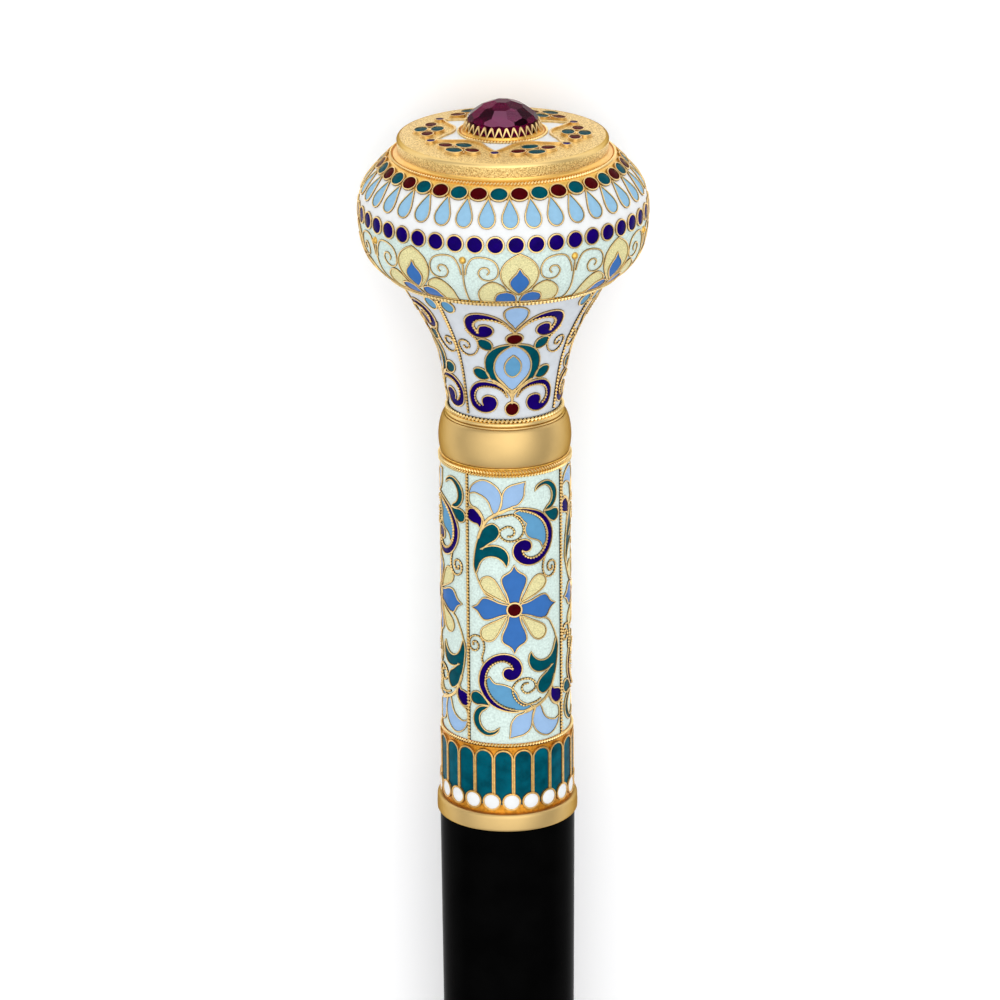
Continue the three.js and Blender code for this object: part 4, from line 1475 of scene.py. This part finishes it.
plate = Plate()
face = [
    (r, DISC_TOP + DISC_RISE * (1 - (r / DISC_EDGE) ** 2)) for r in np.linspace(5, DISC_EDGE, 12)
]
rim = (DISC_EDGE, DISC_TOP)
shoulder = bezier(rim, (15.98, DISC_TOP - 0.03), (16.2, 110.6), (16.22, 110.25), 6)
wall = [(16.2, 109.8), (16.15, 109.2), (16.12, 108.6), (15.2, 108.3), (5, 108.3)]
body = np.vstack([face, shoulder[1:], wall])[::-1]
turned_piece("stippled_disc", [body], stippled_gilt, ["top_disc"], DISC_SIDES, "stippled_gilt")
worn = bezier((15.78, DISC_TOP), (16.03, DISC_TOP - 0.04), (16.235, 110.6), (16.245, 110.28), 8)
worn_edge = np.vstack([worn, [(16.1, 110.28), (15.78, DISC_TOP - 0.14)]])
turned_piece("disc_worn_edge", [worn_edge], polished_gilt, (), DISC_SIDES)
hollow = bezier((16.13, 108.7), (16.15, 108.35), (16.35, 108.2), (16.96, 108.1), 10)
flange = [(17.1, 107.8), (17.44, 107.6), (17.44, 107.3), (15.4, 107.3), (15.4, 108.7)]
turned_piece("disc_cove", [np.vstack([hollow, flange])], cove_gilt, (), DISC_SIDES)


def polar(radius, degrees):
    """A place on the disc from its distance out and its direction."""
    return radius * math.sin(math.radians(degrees)), radius * math.cos(math.radians(degrees))


def star_outline():
    """Six points with a curved edge between each two that bulges in toward the middle."""
    points = []
    for i in range(6):
        tip, waist = STAR_TURN + 60 * i, STAR_TURN + 60 * i + 30
        points.append((*polar(STAR_TIP, tip), 1))
        points.append(polar(9.25, tip + 9.5))
        points.append(polar(7.65, waist - 10))
        points.append(polar(STAR_WAIST, waist))
        points.append(polar(7.65, waist + 10))
        points.append(polar(9.25, tip + 50.5))
    return smooth(points, True, step=0.3)


star_white, star_wire = Tray(), Tray()
star_line = star_outline()
cell(star_white, plate, star_line, lift=0.05, depth=0.3)
wire(star_wire, plate, star_line, True, 0.34, top=0.4, base=-0.1)
star_white.piece("star_enamel", white, "white_enamel")
star_wire.piece("star_rim", wire_gilt, "gilt")
print("star outline", len(star_line), "points")

# %% [markdown]
# Each cup is a short open tube of thin gold with a drop of enamel a little below its rim, so the
# gold edge catches the light. Green cups point inward and outward, and red ones lie to the sides.
# A small round stud marks each tip of the star.

# %% Top disc: cups and studs
def cup(walls, glass, middle, half_wide, half_high, turn_degrees, top, points=22):
    """A raised oval cup: half_wide lies across the direction that turn_degrees points."""
    c, s = math.cos(math.radians(turn_degrees)), math.sin(math.radians(turn_degrees))

    def shape(grow):
        """The cup's outline, moved outward by some mm."""
        flat = oval((0, 0), half_wide + grow, half_high + grow, points)
        across = middle[0] + c * flat[:, 0] + s * flat[:, 1]
        outward = middle[1] - s * flat[:, 0] + c * flat[:, 1]
        return np.stack([across, outward], axis=1)

    wire(walls, plate, shape(0.02), True, 0.18, top=top, base=-0.2)
    wire(walls, plate, shape(0.08), True, 0.28, top=0.16, base=-0.2)
    button(glass, plate, shape(-0.05), lift=top - 0.13, crown=0.07, depth=top)


CUP_RING = 11.3
CUP_HEIGHT = 0.44
GREEN_CUP, RED_CUP = (1.42, 1.05, "teal"), (1.22, 0.94, "red")
CUPS = [(1.28, 0, *GREEN_CUP), (-1.28, 0, *GREEN_CUP), (0, 2.5, *RED_CUP), (0, -2.5, *RED_CUP)]
STUD_RING = 11.95
cup_walls, posts = Tray(), Tray()
cup_glass = {"teal": Tray(), "red": Tray()}
for i in range(6):
    direction = STAR_TURN + 30 + 60 * i
    c, s = math.cos(math.radians(direction)), math.sin(math.radians(direction))
    for out, aside, wide, high, colour in CUPS:
        radius = CUP_RING + out
        middle = (radius * s + aside * c, radius * c - aside * s)
        cup(cup_walls, cup_glass[colour], middle, wide, high, direction, CUP_HEIGHT)
    post = oval(polar(CUP_RING, direction), 0.3, 0.3, 12)
    button(posts, plate, post, lift=0.25, crown=0.3, depth=0.5)
posts.piece("cup_posts", polished_gilt, "gilt")
cup_walls.piece("cup_walls", wire_gilt, "gilt", ["quatrefoil_%d" % (i + 1) for i in range(6)])
cup_glass["teal"].piece("shaded_cup_teal", shaded_cup_teal, "teal_enamel")
cup_glass["red"].piece("cup_red", cup_red, "red_enamel")
stud_walls, stud_glass = Tray(), Tray()
for i in range(6):
    cup(stud_walls, stud_glass, polar(STUD_RING, STAR_TURN + 60 * i), 0.7, 0.7, 0, 0.4, 16)
stud_walls.piece("stud_walls", wire_gilt, "gilt", ["stud_%d" % (i + 1) for i in range(6)])
stud_glass.piece("stud_cobalt", cobalt, "cobalt_enamel")

# %% [markdown]
# The stone sits in a crown setting. A gilt cup with a cord round its foot carries a zigzag of gold
# whose tips lean in over the stone's edge. Every dark gap under a tip is open to the stone behind.

# %% Setting
TEETH = 31
TOOTH = ((0.0, 0.22), (0.42, 1.6), (0.5, 1.7), (0.58, 1.6))
foot_ring = [
    (5.72, 111.15), (6.55, 111.15), (6.54, 111.4), (6.4, 111.56), (6.2, 111.64), (6.12, 111.8),
    (6.1, 112.0), (5.95, 112.06), (5.72, 112.04),
]
turned_piece("setting_foot", [foot_ring], ground_gilt, ["bezel"])
tray = Tray()
zigzag_skin = Skin([(6.08, 111.7), (6.05, 112.3), (5.86, 112.8), (5.5, 113.5)], 6.0)
points = [((i + share) * 360 / TEETH, run) for i in range(TEETH) for share, run in TOOTH]
wire(tray, zigzag_skin, np.array(points), True, 0.36, top=0.12, base=-0.2)
tray.piece("crown_setting", wire_gilt, "gilt")
border("setting_cord", ["bezel_rope"], 6.74, 111.5, 0.48, 0.5, 0.4, behind=amber_gilt)
foil_disc = [(5.7, 111.2), (5.7, 111.5), (0.02, 111.5), (0.02, 111.2)]
turned_piece("stone_foil", [foil_disc], foil, (), 96, "purple_stone")

# %% [markdown]
# The stone is cut like a honeycomb: flat facets in rings, all touching one ball. Blender's bisect
# tool slices a plain cylinder by one plane for each facet, exactly as a cutter grinds them.

# %% Stone
STONE_RADIUS = 5.42
BALL_RADIUS = 6.75
BALL_CENTRE = 109.5
BLANK_SIDES = 56
BLANK_HEIGHTS = (111.55, 117.5)
FACET_RINGS = ((1, 0, 0), (6, 20, 0), (12, 37, 0), (14, 54, 0.5))


def stone_body():
    """The faceted stone: a plain cylinder with one flat slice taken off for each facet."""
    solid = bmesh.new()
    spots = [[to_world(STONE_RADIUS, 360 * i / BLANK_SIDES, h) for i in range(BLANK_SIDES)]
             for h in BLANK_HEIGHTS]
    low, high = ([solid.verts.new(spot) for spot in ring] for ring in spots)
    solid.faces.new(low[::-1])
    solid.faces.new(high)
    for i in range(BLANK_SIDES):
        j = (i + 1) % BLANK_SIDES
        solid.faces.new((low[i], low[j], high[j], high[i]))
    centre = to_world(0.0, 0.0, BALL_CENTRE)
    for count, slope, start in FACET_RINGS:
        for i in range(count):
            angle = math.radians(STAR_TURN + (i + start) * 360 / count)
            out = math.sin(angle) * ACROSS + math.cos(angle) * OUTWARD
            normal = math.cos(math.radians(slope)) * ALONG + math.sin(math.radians(slope)) * out
            touch = centre + MM * BALL_RADIUS * normal
            parts = solid.verts[:] + solid.edges[:] + solid.faces[:]
            cut = bmesh.ops.bisect_plane(
                solid, geom=parts, plane_co=touch, plane_no=normal, clear_outer=True
            )
            rim = [e for e in cut["geom_cut"] if isinstance(e, bmesh.types.BMEdge)]
            if rim:
                bmesh.ops.edgeloop_fill(solid, edges=rim)
    bmesh.ops.recalc_face_normals(solid, faces=solid.faces)
    mesh = bpy.data.meshes.new("faceted_stone")
    solid.to_mesh(mesh)
    solid.free()
    return mesh


stone_mesh = stone_body()
stone_mesh.materials.append(purple_stone)
stone = bpy.data.objects.new("faceted_stone", stone_mesh)
scene.collection.objects.link(stone)
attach(stone, "root")
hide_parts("stone")
print("stone facets:", len(stone_mesh.polygons))
